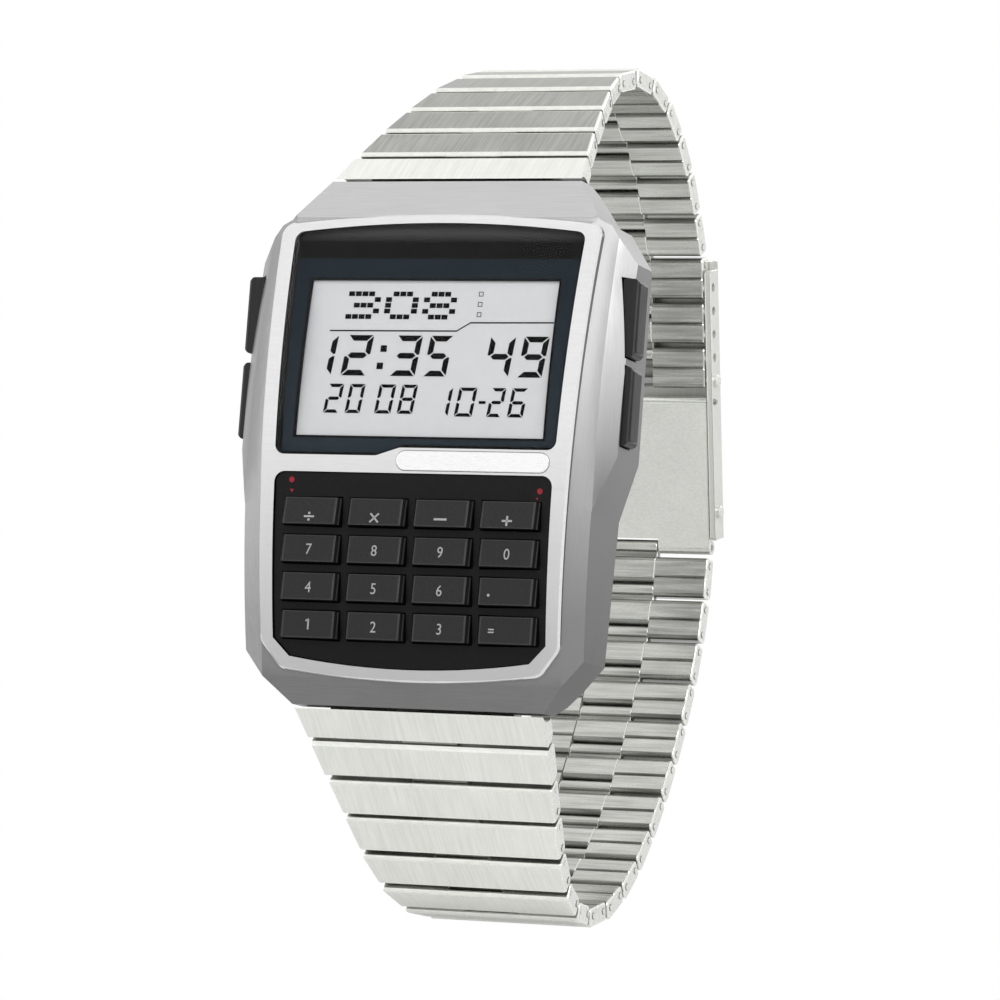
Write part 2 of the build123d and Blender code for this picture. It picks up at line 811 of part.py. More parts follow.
# Spring bars that carry the two ends of the bracelet
with BuildPart() as spring_bars:
    bar_tip_x = barrel_half_length + bar_tip_length
    for side in (-1, 1):
        add(cross_bar(-bar_depth, side * bar_z, bar_radius, -barrel_half_length, barrel_half_length))
        add(cross_bar(-bar_depth, side * bar_z, bar_tip_radius, -bar_tip_x, bar_tip_x))
spring_bars.part.label = "spring_bars"
export_step(spring_bars.part, "parts/spring_bars.step")


def link_plane(y, z, turn, side):
    """Plane of a link's side view, x along the link and y away from the wrist."""
    along = (0, sin(radians(turn)), side * cos(radians(turn)))
    return Plane(origin=(0, y, z), x_dir=along, z_dir=(side, 0, 0))


def chain_pins(turns, side):
    """Places of the pins of a run of links, from the case to the clasp."""
    turn = radians(turns[0])
    out = link_high
    y = band_start_y + link_pin_inset * sin(turn) + out * cos(turn)
    z = case_half_length + band_start_gap + link_pin_inset * cos(turn) - out * sin(turn)
    pins = [(y, side * z)]
    for degrees_turned in turns:
        y += link_pitch * sin(radians(degrees_turned))
        z += link_pitch * cos(radians(degrees_turned))
        pins.append((y, side * z))
    return pins


def half_width_at(steps, taper_links):
    """Half width of the bracelet after a number of links."""
    share = min(steps / taper_links, 1)
    return band_half_width + (clasp_half_width - band_half_width) * share


def link_block(side_view, near_half_width, far_half_width, pinned):
    """Folded plate of a link with its two side blocks and its pin."""
    top_view = Plane(origin=side_view.origin, x_dir=side_view.x_dir, z_dir=side_view.y_dir)
    with BuildPart() as block:
        with BuildSketch(top_view):
            Polygon(
                (link_near, -near_half_width),
                (link_far, -far_half_width),
                (link_far, far_half_width),
                (link_near, near_half_width),
                align=None,
            )
        extrude(amount=link_thickness, both=True)
        with BuildSketch(side_view):
            Polygon(
                (link_near + link_bevel, link_high),
                (link_far - link_bevel, link_high),
                (link_far, link_high - link_bevel),
                (link_far, link_low + link_inner_bevel),
                (link_far - link_inner_bevel, link_low),
                (link_near + link_inner_bevel, link_low),
                (link_near, link_low + link_inner_bevel),
                (link_near, link_high - link_bevel),
                align=None,
            )
        extrude(amount=case_half_width, both=True, mode=Mode.INTERSECT)
        with BuildSketch(side_view):
            with Locations(((link_near + link_far) / 2, skin_low - link_thickness)):
                Rectangle(2 * link_pitch, 2 * link_thickness)
        extrude(amount=pocket_half_width, both=True, mode=Mode.SUBTRACT)
        with BuildSketch(side_view):
            with Locations(((link_near + link_far) / 2, link_low)):
                Rectangle(link_seam, 2 * link_seam)
        extrude(amount=case_half_width, both=True, mode=Mode.SUBTRACT)
        if pinned:
            with BuildSketch(side_view):
                add(round_outline(0, 0, link_pin_radius))
            extrude(amount=pocket_half_width, both=True)
    return block.part


def end_link(side_view, side, near_half_width, far_half_width):
    """First link, with a barrel round the spring bar in place of the pin."""
    bar_at = side_view.to_local_coords(Vector(0, -bar_depth, side * bar_z))
    with BuildPart() as block:
        add(link_block(side_view, near_half_width, far_half_width, False))
        with BuildSketch(side_view):
            with Locations((bar_at.X, bar_at.Y)):
                Circle(band_relief_radius)
        extrude(amount=case_half_width, both=True, mode=Mode.SUBTRACT)
        with BuildSketch(side_view):
            Polygon(
                (bar_at.X, bar_at.Y + barrel_radius),
                (barrel_reach_high, skin_low),
                (barrel_reach, skin_low),
                (barrel_reach, link_low),
                (bar_at.X, bar_at.Y - barrel_radius),
                align=None,
            )
            with Locations((bar_at.X, bar_at.Y)):
                RegularPolygon(barrel_radius, knuckle_sides)
            bore = round_outline(bar_at.X, bar_at.Y, bar_radius + hinge_clearance, True)
            add(bore, mode=Mode.SUBTRACT)
        extrude(amount=barrel_half_length, both=True)
    return block.part


def connector(side_view, start):
    """Narrow middle piece that sits under a plate and holds the next link's pin."""
    eye_start = link_pitch - connector_eye
    flat_start = link_pitch - connector_flat
    flat_end = link_pitch + connector_flat
    with BuildPart() as piece:
        with BuildSketch(side_view):
            Polygon(
                (start, skin_low - connector_seat_gap),
                (link_far, skin_low - connector_seat_gap),
                (flat_start, connector_eye),
                (flat_end, connector_eye),
                (link_pitch + connector_eye, connector_flat),
                (link_pitch + connector_eye, -connector_flat),
                (flat_end, -connector_eye),
                (flat_start, -connector_eye),
                (eye_start, -connector_flat),
                (link_far, -connector_flat),
                (link_far - link_inner_bevel, link_low),
                (start + link_inner_bevel, link_low),
                (start, link_low + link_inner_bevel),
                align=None,
            )
            bore = round_outline(link_pitch, 0, link_pin_radius + hinge_clearance, True)
            add(bore, mode=Mode.SUBTRACT)
        extrude(amount=connector_width / 2, both=True)
    return piece.part


# The two runs of links, one file for each piece that moves as one
upper_pins = chain_pins(upper_turns, 1)
lower_pins = chain_pins(lower_turns, -1)
runs = (
    ("upper", 1, upper_pins, upper_turns, upper_groups, upper_taper_links),
    ("lower", -1, lower_pins, lower_turns, lower_groups, lower_taper_links),
)
for run_word, side, pins, turns, groups, taper_links in runs:
    index = 0
    for number, count in enumerate(groups, 1):
        with BuildPart() as links:
            for step in range(index, index + count):
                view = link_plane(*pins[step], turns[step], side)
                near = half_width_at(step, taper_links)
                far = half_width_at(step + plate_length_share, taper_links)
                if step == 0:
                    add(end_link(view, side, near, far))
                    add(connector(view, tongue_start_gap))
                else:
                    add(link_block(view, near, far, True))
                    add(connector(view, connector_start))
            if run_word == "lower" and number == len(groups):
                with BuildSketch(link_plane(*pins[-1], turns[-1], side)):
                    add(round_outline(0, 0, link_pin_radius))
                extrude(amount=knuckle_gap + connector_width / 2 - end_bar_tip_gap, both=True)
        name = run_word + "_links_" + str(number)
        links.part.label = name
        export_step(links.part, "parts/" + name + ".step")
        index += count

# Clasp: three links held in the cover, which closes on the blade
start_y, start_z = upper_pins[-1]
end_y, end_z = lower_pins[-1]
clasp_length = hypot(end_y - start_y, end_z - start_z)
clasp_turn = degrees(atan2(end_y - start_y, end_z - start_z))
clasp_view = link_plane(start_y, start_z, clasp_turn, 1)
clasp_bar_u = (captured_links - 1) * link_pitch + link_far - clasp_bar_inset
hinge_u = (captured_links - 1) * link_pitch + link_far + blade_hinge_gap
with BuildPart() as clasp_end_links:
    for step in range(captured_links):
        shift_y = step * link_pitch * sin(radians(clasp_turn))
        shift_z = step * link_pitch * cos(radians(clasp_turn))
        view = link_plane(start_y + shift_y, start_z + shift_z, clasp_turn, 1)
        add(link_block(view, clasp_half_width, clasp_half_width, True))
        if step < captured_links - 1:
            add(connector(view, connector_start))
    with BuildSketch(clasp_view):
        add(round_outline(clasp_bar_u, 0, clasp_bar_radius + hinge_clearance, True))
    extrude(amount=case_half_width, both=True, mode=Mode.SUBTRACT)
clasp_end_links.part.label = "clasp_end_links"
export_step(clasp_end_links.part, "parts/clasp_end_links.step")

cover_half_width = clasp_half_width + cover_side_gap + cover_thickness
cover_end_u = clasp_length - cover_end_gap
roof_low = link_high + cover_roof_gap
roof_high = roof_low + cover_thickness
outward_axis = Axis(clasp_view.origin, clasp_view.y_dir)
with BuildPart() as clasp_cover:
    with BuildSketch(clasp_view):
        Polygon(
            (-cover_start, roof_low),
            (-cover_start, roof_high),
            (cover_end_u, roof_high),
            (cover_end_u, cover_edge - cover_wall_reach),
            (cover_end_u - cover_edge, -cover_wall_reach),
            (cover_wall_start + cover_edge, -cover_wall_reach),
            (cover_wall_start, cover_edge - cover_wall_reach),
            (cover_wall_start, roof_low),
            align=None,
        )
    extrude(amount=cover_half_width, both=True)
    chamfer(clasp_cover.faces().sort_by(outward_axis)[-1].edges(), length=cover_edge)
    with BuildSketch(clasp_view):
        with Locations((cover_end_u / 2, roof_low - link_thickness)):
            Rectangle(2 * clasp_length, 2 * link_thickness)
    extrude(amount=clasp_half_width + cover_side_gap, both=True, mode=Mode.SUBTRACT)
    with BuildSketch(clasp_view):
        for hole in range(adjust_hole_count):
            add(round_outline(clasp_bar_u - hole * adjust_hole_pitch, 0, adjust_hole_radius, True))
        add(round_outline(hinge_u, -blade_hinge_drop, blade_pin_radius + tip_hole_gap, True))
    extrude(amount=case_half_width, both=True, mode=Mode.SUBTRACT)
clasp_cover.part.label = "clasp_cover"
export_step(clasp_cover.part, "parts/clasp_cover.step")

with BuildPart() as clasp_pins:
    with BuildSketch(clasp_view):
        add(round_outline(clasp_bar_u, 0, clasp_bar_radius))
        add(round_outline(hinge_u, -blade_hinge_drop, blade_pin_radius))
    extrude(amount=cover_half_width + clasp_pin_proud, both=True)
clasp_pins.part.label = "clasp_pins"
export_step(clasp_pins.part, "parts/clasp_pins.step")

blade_half_width = clasp_half_width + cover_side_gap - blade_side_gap
blade_high = blade_thickness - blade_inner_drop
with BuildPart() as clasp_blade:
    with BuildSketch(clasp_view):
        with Locations(((hinge_u + clasp_length) / 2, blade_high - blade_thickness / 2)):
            Rectangle(clasp_length - hinge_u, blade_thickness)
        with Locations((hinge_u, -blade_hinge_drop)):
            RegularPolygon(blade_curl_radius, knuckle_sides)
        with Locations((clasp_length, 0)):
            RegularPolygon(knuckle_radius, knuckle_sides)
    extrude(amount=blade_half_width, both=True)
    with BuildSketch(clasp_view):
        add(round_outline(hinge_u, -blade_hinge_drop, blade_pin_radius + hinge_clearance, True))
        add(round_outline(clasp_length, 0, link_pin_radius + hinge_clearance, True))
    extrude(amount=case_half_width, both=True, mode=Mode.SUBTRACT)
    with BuildSketch(clasp_view):
        with Locations((clasp_length - knuckle_notch + overrun, 0)):
            Rectangle(2 * overrun, 2 * overrun)
    extrude(amount=connector_width / 2 + knuckle_gap, both=True, mode=Mode.SUBTRACT)
    rib_plane = Plane(origin=clasp_view.origin, x_dir=clasp_view.x_dir, z_dir=clasp_view.y_dir)
    rib_length = clasp_length - hinge_u - 2 * blade_rib_inset
    with BuildSketch(rib_plane.offset(blade_high)):
        for rib_side in (-1, 1):
            rib_offset = rib_side * (blade_half_width - blade_rib_width)
            with Locations(((hinge_u + clasp_length) / 2, rib_offset)):
                Rectangle(rib_length, blade_rib_width)
    extrude(amount=blade_rib_height)
clasp_blade.part.label = "clasp_blade"
export_step(clasp_blade.part, "parts/clasp_blade.step")
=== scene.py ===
import json
from math import atan2, cos, degrees, hypot, pi, radians, sin, sqrt

import bmesh
import bpy
from mathutils import Matrix, Vector


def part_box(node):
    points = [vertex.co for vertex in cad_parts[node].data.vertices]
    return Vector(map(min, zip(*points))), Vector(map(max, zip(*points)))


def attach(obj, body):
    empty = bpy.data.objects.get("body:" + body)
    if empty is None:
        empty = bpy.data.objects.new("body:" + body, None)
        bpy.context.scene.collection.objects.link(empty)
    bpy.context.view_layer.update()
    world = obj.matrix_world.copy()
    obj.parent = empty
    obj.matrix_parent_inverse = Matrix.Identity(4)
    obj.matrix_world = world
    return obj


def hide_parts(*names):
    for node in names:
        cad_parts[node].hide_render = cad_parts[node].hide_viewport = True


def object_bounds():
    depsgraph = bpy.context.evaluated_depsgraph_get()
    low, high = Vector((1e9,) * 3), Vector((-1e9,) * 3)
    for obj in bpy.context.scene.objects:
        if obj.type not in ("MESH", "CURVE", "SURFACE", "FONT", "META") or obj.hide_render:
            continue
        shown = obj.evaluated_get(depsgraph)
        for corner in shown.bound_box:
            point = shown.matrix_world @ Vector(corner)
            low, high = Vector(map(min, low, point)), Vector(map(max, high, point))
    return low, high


# Looks of the calculator watch: finishes, printed marks, display figures and small trim.
# Blender works in metres; MM turns the millimetres of this watch into metres.
MM = 0.001

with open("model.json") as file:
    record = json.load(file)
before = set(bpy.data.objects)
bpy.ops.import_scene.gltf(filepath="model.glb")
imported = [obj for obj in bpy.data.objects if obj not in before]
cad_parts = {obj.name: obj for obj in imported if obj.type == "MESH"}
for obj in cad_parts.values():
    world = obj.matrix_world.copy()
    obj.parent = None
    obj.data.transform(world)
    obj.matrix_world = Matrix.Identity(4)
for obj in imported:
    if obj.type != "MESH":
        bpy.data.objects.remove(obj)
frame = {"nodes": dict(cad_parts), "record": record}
cad_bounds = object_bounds()
scene = bpy.context.scene
body_of_node = {}
for body_name, members in frame["record"]["behaviour"]["bodies"].items():
    for member in members:
        body_of_node[member] = body_name


def added(name, data):
    """New object in the scene."""
    made = bpy.data.objects.new(name, data)
    scene.collection.objects.link(made)
    return made


# Face of the case, a large cylinder along X
case_depth = 8.8
face_radius = 88.0
face_crown_drop = 0.5
bezel_height = 0.4
panel_drop = 0.2


def face_y(z):
    """Depth of the face at a height, in millimetres."""
    reach = z + face_crown_drop
    return face_radius - case_depth - sqrt(face_radius**2 - reach**2)


# Camera at the photograph's angle, a little below the dial and to its right
IMAGE_PIXELS = 1000.0
SENSOR_WIDTH = 36.0
view_azimuth = radians(23.8)
view_elevation = radians(-7.53)
view_roll = radians(4.33)
face_distance = 457 * MM
focal_pixels = 5110.0
face_pixel = (414.3, 441.7)
face_point = Vector((0, -case_depth * MM, -0.6 * MM))


def add_camera():
    """Camera that puts the middle of the dial on its pixel of the photograph."""
    across = Vector((cos(view_azimuth), sin(view_azimuth), 0))
    upward = Vector((
        -sin(view_azimuth) * sin(view_elevation),
        cos(view_azimuth) * sin(view_elevation),
        cos(view_elevation),
    ))
    into = upward.cross(across)
    right = across * cos(view_roll) + upward * sin(view_roll)
    top = upward * cos(view_roll) - across * sin(view_roll)
    place = face_point - face_distance * into
    off_right = IMAGE_PIXELS / 2 - face_pixel[0]
    off_down = IMAGE_PIXELS / 2 - face_pixel[1]
    aim = (into * focal_pixels + right * off_right - top * off_down).normalized()
    side = aim.cross(top).normalized()
    head = side.cross(aim)
    data = bpy.data.cameras.new("photo_camera")
    data.sensor_width = SENSOR_WIDTH
    data.lens = focal_pixels / IMAGE_PIXELS * SENSOR_WIDTH
    data.clip_start = 0.01
    data.clip_end = 20
    camera = added("photo_camera", data)
    turn = Matrix((side, head, -aim)).transposed().to_4x4()
    camera.matrix_world = Matrix.Translation(place) @ turn
    scene.camera = camera


# Node helpers for the finishes
def fill(tree, made, inputs):
    """Plain values and links of the inputs of a node."""
    for key, value in inputs.items():
        if isinstance(value, bpy.types.NodeSocket):
            tree.links.new(value, made.inputs[key])
        else:
            made.inputs[key].default_value = value


def node(tree, kind, inputs=None, **settings):
    """New node with its settings and its inputs."""
    made = tree.nodes.new(kind)
    for key, value in settings.items():
        setattr(made, key, value)
    fill(tree, made, inputs or {})
    return made


def calc(tree, operation, first, second=0.0):
    """One sum on numbers that change over the surface."""
    return node(tree, "ShaderNodeMath", {0: first, 1: second}, operation=operation).outputs[0]


def tones(tree, share, low, high):
    """Colour between two tones."""
    return node(tree, "ShaderNodeMix", {0: share, 6: low, 7: high}, data_type="RGBA").outputs[2]


def most(tree, first, *others):
    """Largest of several numbers."""
    for other in others:
        first = calc(tree, "MAXIMUM", first, other)
    return first


def spread(tree, value, from_low, from_high, to_low, to_high, **settings):
    """Number moved from one range to another."""
    inputs = {
        "Value": value, "From Min": from_low, "From Max": from_high, "To Min": to_low, "To Max": to_high,
    }
    return node(tree, "ShaderNodeMapRange", inputs, **settings).outputs["Result"]


def noise(tree, place, scale, detail, distortion=0.0):
    """Soft random pattern of a fineness, a depth of detail and a swirl."""
    inputs = {"Vector": place, "Scale": scale, "Detail": detail, "Distortion": distortion}
    return node(tree, "ShaderNodeTexNoise", inputs).outputs[0]


def apart(tree, place):
    """X, Y and Z of a place."""
    return node(tree, "ShaderNodeSeparateXYZ", {0: place}).outputs


def seen_rays(tree):
    """Whether the camera, metal or glass sees a surface directly."""
    light = node(tree, "ShaderNodeLightPath").outputs
    return most(tree, light["Is Camera Ray"], light["Is Glossy Ray"], light["Is Transmission Ray"])


def blended(tree, share, first, second):
    """Shader between two shaders."""
    return node(tree, "ShaderNodeMixShader", {0: share, 1: first.outputs[0], 2: second.outputs[0]})


def display_tone(red, green, blue):
    """Linear colour of a tone read on a screen's scale of 0 to 255."""
    linear = []
    for part in (red, green, blue):
        share = part / 255
        linear.append(share / 12.92 if share <= 0.04045 else ((share + 0.055) / 1.055) ** 2.4)
    return (*linear, 1.0)


def grey(level):
    return display_tone(level, level, level)


def band_grey(level):
    """Grey of the bracelet's steel, a trace warmer than the case."""
    return display_tone(level, level + 1, level - 5)


def effect(name, label, kind, value, outputs):
    """Empty shader group that reads the place on the watch and one more named input."""
    tree = bpy.data.node_groups.new(name, "ShaderNodeTree")
    for title, form, start in (("Place", "NodeSocketVector", (0, 0, 0)), (label, kind, value)):
        socket = tree.interface.new_socket(title, in_out="INPUT", socket_type=form)
        socket.default_value = start
    for title in outputs:
        tree.interface.new_socket(title, in_out="OUTPUT", socket_type="NodeSocketFloat")
    return tree, tree.nodes.new("NodeGroupInput").outputs, tree.nodes.new("NodeGroupOutput").inputs


def brushed_grain():
    """Long fine lines of a brushed or satin metal, with a soft cloudiness."""
    tree, given, result = effect(
        "brushed_grain", "Lines", "NodeSocketVector", (1, 1, 1), ["Tone", "Height"]
    )
    both_places = {0: given["Place"], 1: given["Lines"]}
    stretched = node(tree, "ShaderNodeVectorMath", both_places, operation="MULTIPLY").outputs[0]
    lines = noise(tree, stretched, 1.0, 3.0)
    cloud = noise(tree, given["Place"], 0.16, 2.0)
    both = calc(tree, "ADD", calc(tree, "MULTIPLY", lines, 0.7), calc(tree, "MULTIPLY", cloud, 0.3))
    tree.links.new(spread(tree, both, 0.36, 0.64, 0.0, 1.0), result["Tone"])
    tree.links.new(lines, result["Height"])
    return tree


def hand_wear():
    """Faint rubbed patches and hairlines of a watch that has been worn."""
    tree, given, result = effect("hand_wear", "Reach", "NodeSocketFloat", 0.3, ["Mask"])
    patch = noise(tree, given["Place"], 0.35, 5.0, 0.6)
    hair = noise(tree, given["Place"], 1.3, 1.0, 3.0)
    line = spread(tree, calc(tree, "ABSOLUTE", calc(tree, "SUBTRACT", hair, 0.5)), 0.0, 0.02, 1.0, 0.0)
    where = calc(tree, "MULTIPLY", line, spread(tree, patch, 0.5, 0.7, 0.0, 1.0))
    tree.links.new(calc(tree, "MULTIPLY", where, given["Reach"]), result["Mask"])
    return tree


def fine_speckle():
    """Small even grain of moulded plastic, rubber, paint and print."""
    tree, given, result = effect("fine_speckle", "Fineness", "NodeSocketFloat", 6.0, ["Tone", "Height"])
    grain = noise(tree, given["Place"], given["Fineness"], 2.0)
    tree.links.new(spread(tree, grain, 0.3, 0.7, 0.0, 1.0), result["Tone"])
    tree.links.new(grain, result["Height"])
    return tree


grain_effect = brushed_grain()
wear_effect = hand_wear()
speckle_effect = fine_speckle()


def put(tree, group, **inputs):
    """Effect group placed in a material with its own values."""
    return node(tree, "ShaderNodeGroup", inputs, node_tree=group).outputs


def blank_finish(name):
    """New material with its tree, its shader and the place on the watch in millimetres."""
    made = bpy.data.materials.new(name)
    made.use_nodes = True
    tree = made.node_tree
    spot = node(tree, "ShaderNodeTexCoord").outputs["Object"]
    place = node(tree, "ShaderNodeVectorMath", {0: spot, "Scale": 1 / MM}, operation="SCALE").outputs[0]
    return made, tree, tree.nodes["Principled BSDF"], place


def speckled_finish(name, fineness):
    """New material that also has a fine even grain."""
    made, tree, shader, place = blank_finish(name)
    return made, tree, shader, place, put(tree, speckle_effect, Place=place, Fineness=fineness)


def surfaced(tree, shader, colour, tone, rough, others=None):
    """Colour of a shader, its roughness between two values along a tone, and its other inputs."""
    roughness = spread(tree, tone, 0, 1, *rough)
    fill(tree, shader, {"Base Color": colour, "Roughness": roughness, **(others or {})})


def bumped(tree, shader, height, strength, depth):
    """Relief of a height on a shader."""
    bump = node(tree, "ShaderNodeBump", {"Height": height, "Strength": strength, "Distance": depth * MM})
    tree.links.new(bump.outputs[0], shader.inputs["Normal"])


def partly_clear(tree, share, shader):
    """Surface that is clear by a share."""
    shown = blended(tree, share, shader, node(tree, "ShaderNodeBsdfTransparent"))
    tree.links.new(shown.outputs[0], tree.nodes["Material Output"].inputs["Surface"])


rubbed_gain = 12
rubbed_most = 250


def steel(name, dark, light, lines, rough, metal=0.7, relief=0.3, wear=0.25, foot=None, tone=grey):
    """Brushed, satin or polished steel, with painted shade that darkens it from one height to another where
    asked.
    """
    made, tree, shader, place = blank_finish(name)
    grain = put(tree, grain_effect, Place=place, Lines=lines)
    mask = put(tree, wear_effect, Place=place, Reach=wear)["Mask"]
    clean = tones(tree, grain["Tone"], tone(dark), tone(light))
    # Painted shade: the colour fades to a darker grey from one height to another, as if less light reached
    # the foot.
    if foot:
        from_z, to_z, shade_darkest = foot
        height = apart(tree, place)[2]
        clean = tones(tree, spread(tree, height, from_z, to_z, 0.0, 1.0), clean, grey(shade_darkest))
    colour = tones(tree, mask, clean, tone(min(light + rubbed_gain, rubbed_most)))
    surfaced(tree, shader, colour, grain["Tone"], rough, {"Metallic": metal})
    bumped(tree, shader, grain["Height"], relief, 0.02)
    return made


def moulded(name, dark, light, rough, fineness=6.0, relief=0.25, shine=0.15):
    """Plastic, rubber, paint or print with a fine even grain."""
    made, tree, shader, _, grain = speckled_finish(name, fineness)
    colour = tones(tree, grain["Tone"], dark, light)
    surfaced(tree, shader, colour, grain["Tone"], rough, {"Specular IOR Level": shine})
    bumped(tree, shader, grain["Height"], relief, 0.015)
    return made


# Steel takes its tones, its lines along X, Y and Z, roughness, metal, relief, wear and where painted shade
# darkens it.
# Moulded takes its tones, roughness, fineness, relief and shine.

# Finishes of the case, with painted light and shade in their tones
# The slopes, shoulders and flank are one steel, each painted lighter or darker by how light falls on it; the
# last values fade the bezel, inner and outer shoulders and flank to painted shade towards the foot.
bezel_satin = steel("bezel_satin", 219, 225, (0.5, 8.0, 8.0), (0.3, 0.36), 0.35, 0.05, 0.1, (1, -22, 186))
bezel_rim = steel("bezel_rim", 224, 234, (1.0, 4.0, 4.0), (0.14, 0.2), 0.7, 0.05, 0.1)
shaded_upper_slope = steel("shaded_upper_slope", 190, 198, (0.3, 9.0, 9.0), (0.32, 0.38), 0.5, 0.08, 0.1)
shaded_foot_slope = steel("shaded_foot_slope", 120, 128, (0.3, 9.0, 9.0), (0.32, 0.38), 0.5, 0.08, 0.1)
shaded_inner_shoulder = steel("shaded_inner_shoulder", 168, 177, (6, 6, 0.3), (0.42, 0.5), 0.4, 0.08, 0.1, (6, -16, 128))
lit_outer_shoulder = steel("lit_outer_shoulder", 218, 226, (6, 6, 0.3), (0.34, 0.4), 0.4, 0.06, 0.1, (11, -5, 126))
shaded_left_shoulder = steel("shaded_left_shoulder", 150, 158, (6, 6, 0.3), (0.3, 0.36), 0.5, 0.08, 0.1)
shaded_flank_brushed = steel("shaded_flank_brushed", 128, 138, (5.0, 9.0, 0.3), (0.34, 0.42), 0.5, 0.12, 0.1, (4, -20, 96))
case_under = steel("case_under", 140, 156, (5.0, 5.0, 0.5), (0.3, 0.45), 0.7, 0.2)
# Near-black walls of the recess round the display.
well_black = moulded("well_black", grey(8), grey(16), (0.3, 0.45), 4.0)
back_brushed = steel("back_brushed", 168, 188, (0.4, 5.0, 7.0), (0.26, 0.4), 0.8, 0.4, 0.4)
label_steel = steel("label_steel", 240, 244, (1.0, 14.0, 14.0), (0.27, 0.3), 0.2, 0.02, 0.05)

# Finishes of the keys, the pushers and what lies inside
panel_black = moulded("panel_black", grey(13), grey(17), (0.34, 0.46), 3.0, 0.1)
# The keys are one plastic: their sides are painted darker as shade, and their rounded edges painted lighter
# as a highlight.
key_top = moulded("key_top", grey(32), grey(39), (0.42, 0.55), 5.0, 0.25, 0.2)
shaded_key_side = moulded("shaded_key_side", grey(8), grey(13), (0.45, 0.6), 5.0, 0.25, 0.1)
lit_key_edge = moulded("lit_key_edge", grey(50), grey(60), (0.4, 0.5), 5.0, 0.25, 0.2)
legend_print = moulded("legend_print", grey(156), grey(172), (0.4, 0.5), 8.0, 0.1)
mark_red = moulded("mark_red", display_tone(132, 34, 46), display_tone(152, 44, 56), (0.4, 0.5), 8.0, 0.1)
pusher_grey = steel("pusher_grey", 13, 21, (4.0, 4.0, 0.4), (0.34, 0.46), 0.35, 0.2, 0.15)
pusher_rim = steel("pusher_rim", 34, 44, (4.0, 4.0, 0.4), (0.25, 0.35), 0.5, 0.1, 0.15)
lcd_ink = moulded("lcd_ink", grey(5), grey(9), (0.5, 0.6), 8.0, 0.05, 0.05)
lcd_faint_ink = moulded("lcd_faint_ink", grey(92), grey(108), (0.5, 0.6), 8.0, 0.05, 0.05)
contact_rubber = moulded("contact_rubber", grey(36), grey(46), (0.6, 0.75), 3.0)
frame_plastic = moulded("frame_plastic", grey(58), grey(70), (0.5, 0.62), 4.0)
gasket_rubber = moulded("gasket_rubber", grey(22), grey(30), (0.6, 0.75), 3.0)
cell_steel = steel("cell_steel", 186, 204, (3.0, 3.0, 3.0), (0.2, 0.32), 0.9, 0.15)
clip_steel = steel("clip_steel", 176, 196, (0.5, 5.0, 5.0), (0.22, 0.34), 0.9, 0.2)
bar_steel = steel("bar_steel", 150, 172, (0.5, 6.0, 6.0), (0.2, 0.34), 0.85, 0.2)
screw_steel = steel("screw_steel", 172, 194, (2.0, 6.0, 2.0), (0.18, 0.3), 0.9, 0.15)

# Finishes of the bracelet
# The plates of both runs are one steel, painted darker on the upper run and lighter on the lower run for how
# light falls on them.
shaded_upper_plate = steel("shaded_upper_plate", 150, 178, (4.5, 0.2, 0.2), (0.3, 0.42), 0.5, 0.4, tone=band_grey)
lit_lower_plate = steel("lit_lower_plate", 232, 244, (4.5, 0.2, 0.2), (0.3, 0.4), 0.35, 0.3, tone=band_grey)
plate_edge = steel("plate_edge", 234, 246, (1.0, 3.0, 3.0), (0.12, 0.2), 0.8, 0.05, tone=band_grey)
inside_brushed = steel("inside_brushed", 184, 222, (0.16, 3.0, 3.0), (0.2, 0.3), 0.75, 0.18, tone=band_grey)
# Painted shade and reflection: the inside steel made darker on the rounded lobes, seams, pins and pocket.
shaded_inside_round = steel("shaded_inside_round", 126, 168, (0.2, 3.0, 3.0), (0.18, 0.3), 0.8, 0.18, tone=band_grey)
link_side = steel("link_side", 222, 236, (2.0, 2.0, 2.0), (0.24, 0.34), 0.45, 0.08, tone=band_grey)
cover_satin = steel("cover_satin", 218, 227, (7.0, 0.4, 0.4), (0.3, 0.36), 0.45, 0.12, tone=band_grey)
blade_satin = steel("blade_satin", 228, 240, (3.0, 6.0, 6.0), (0.3, 0.38), 0.35, 0.14, tone=band_grey)


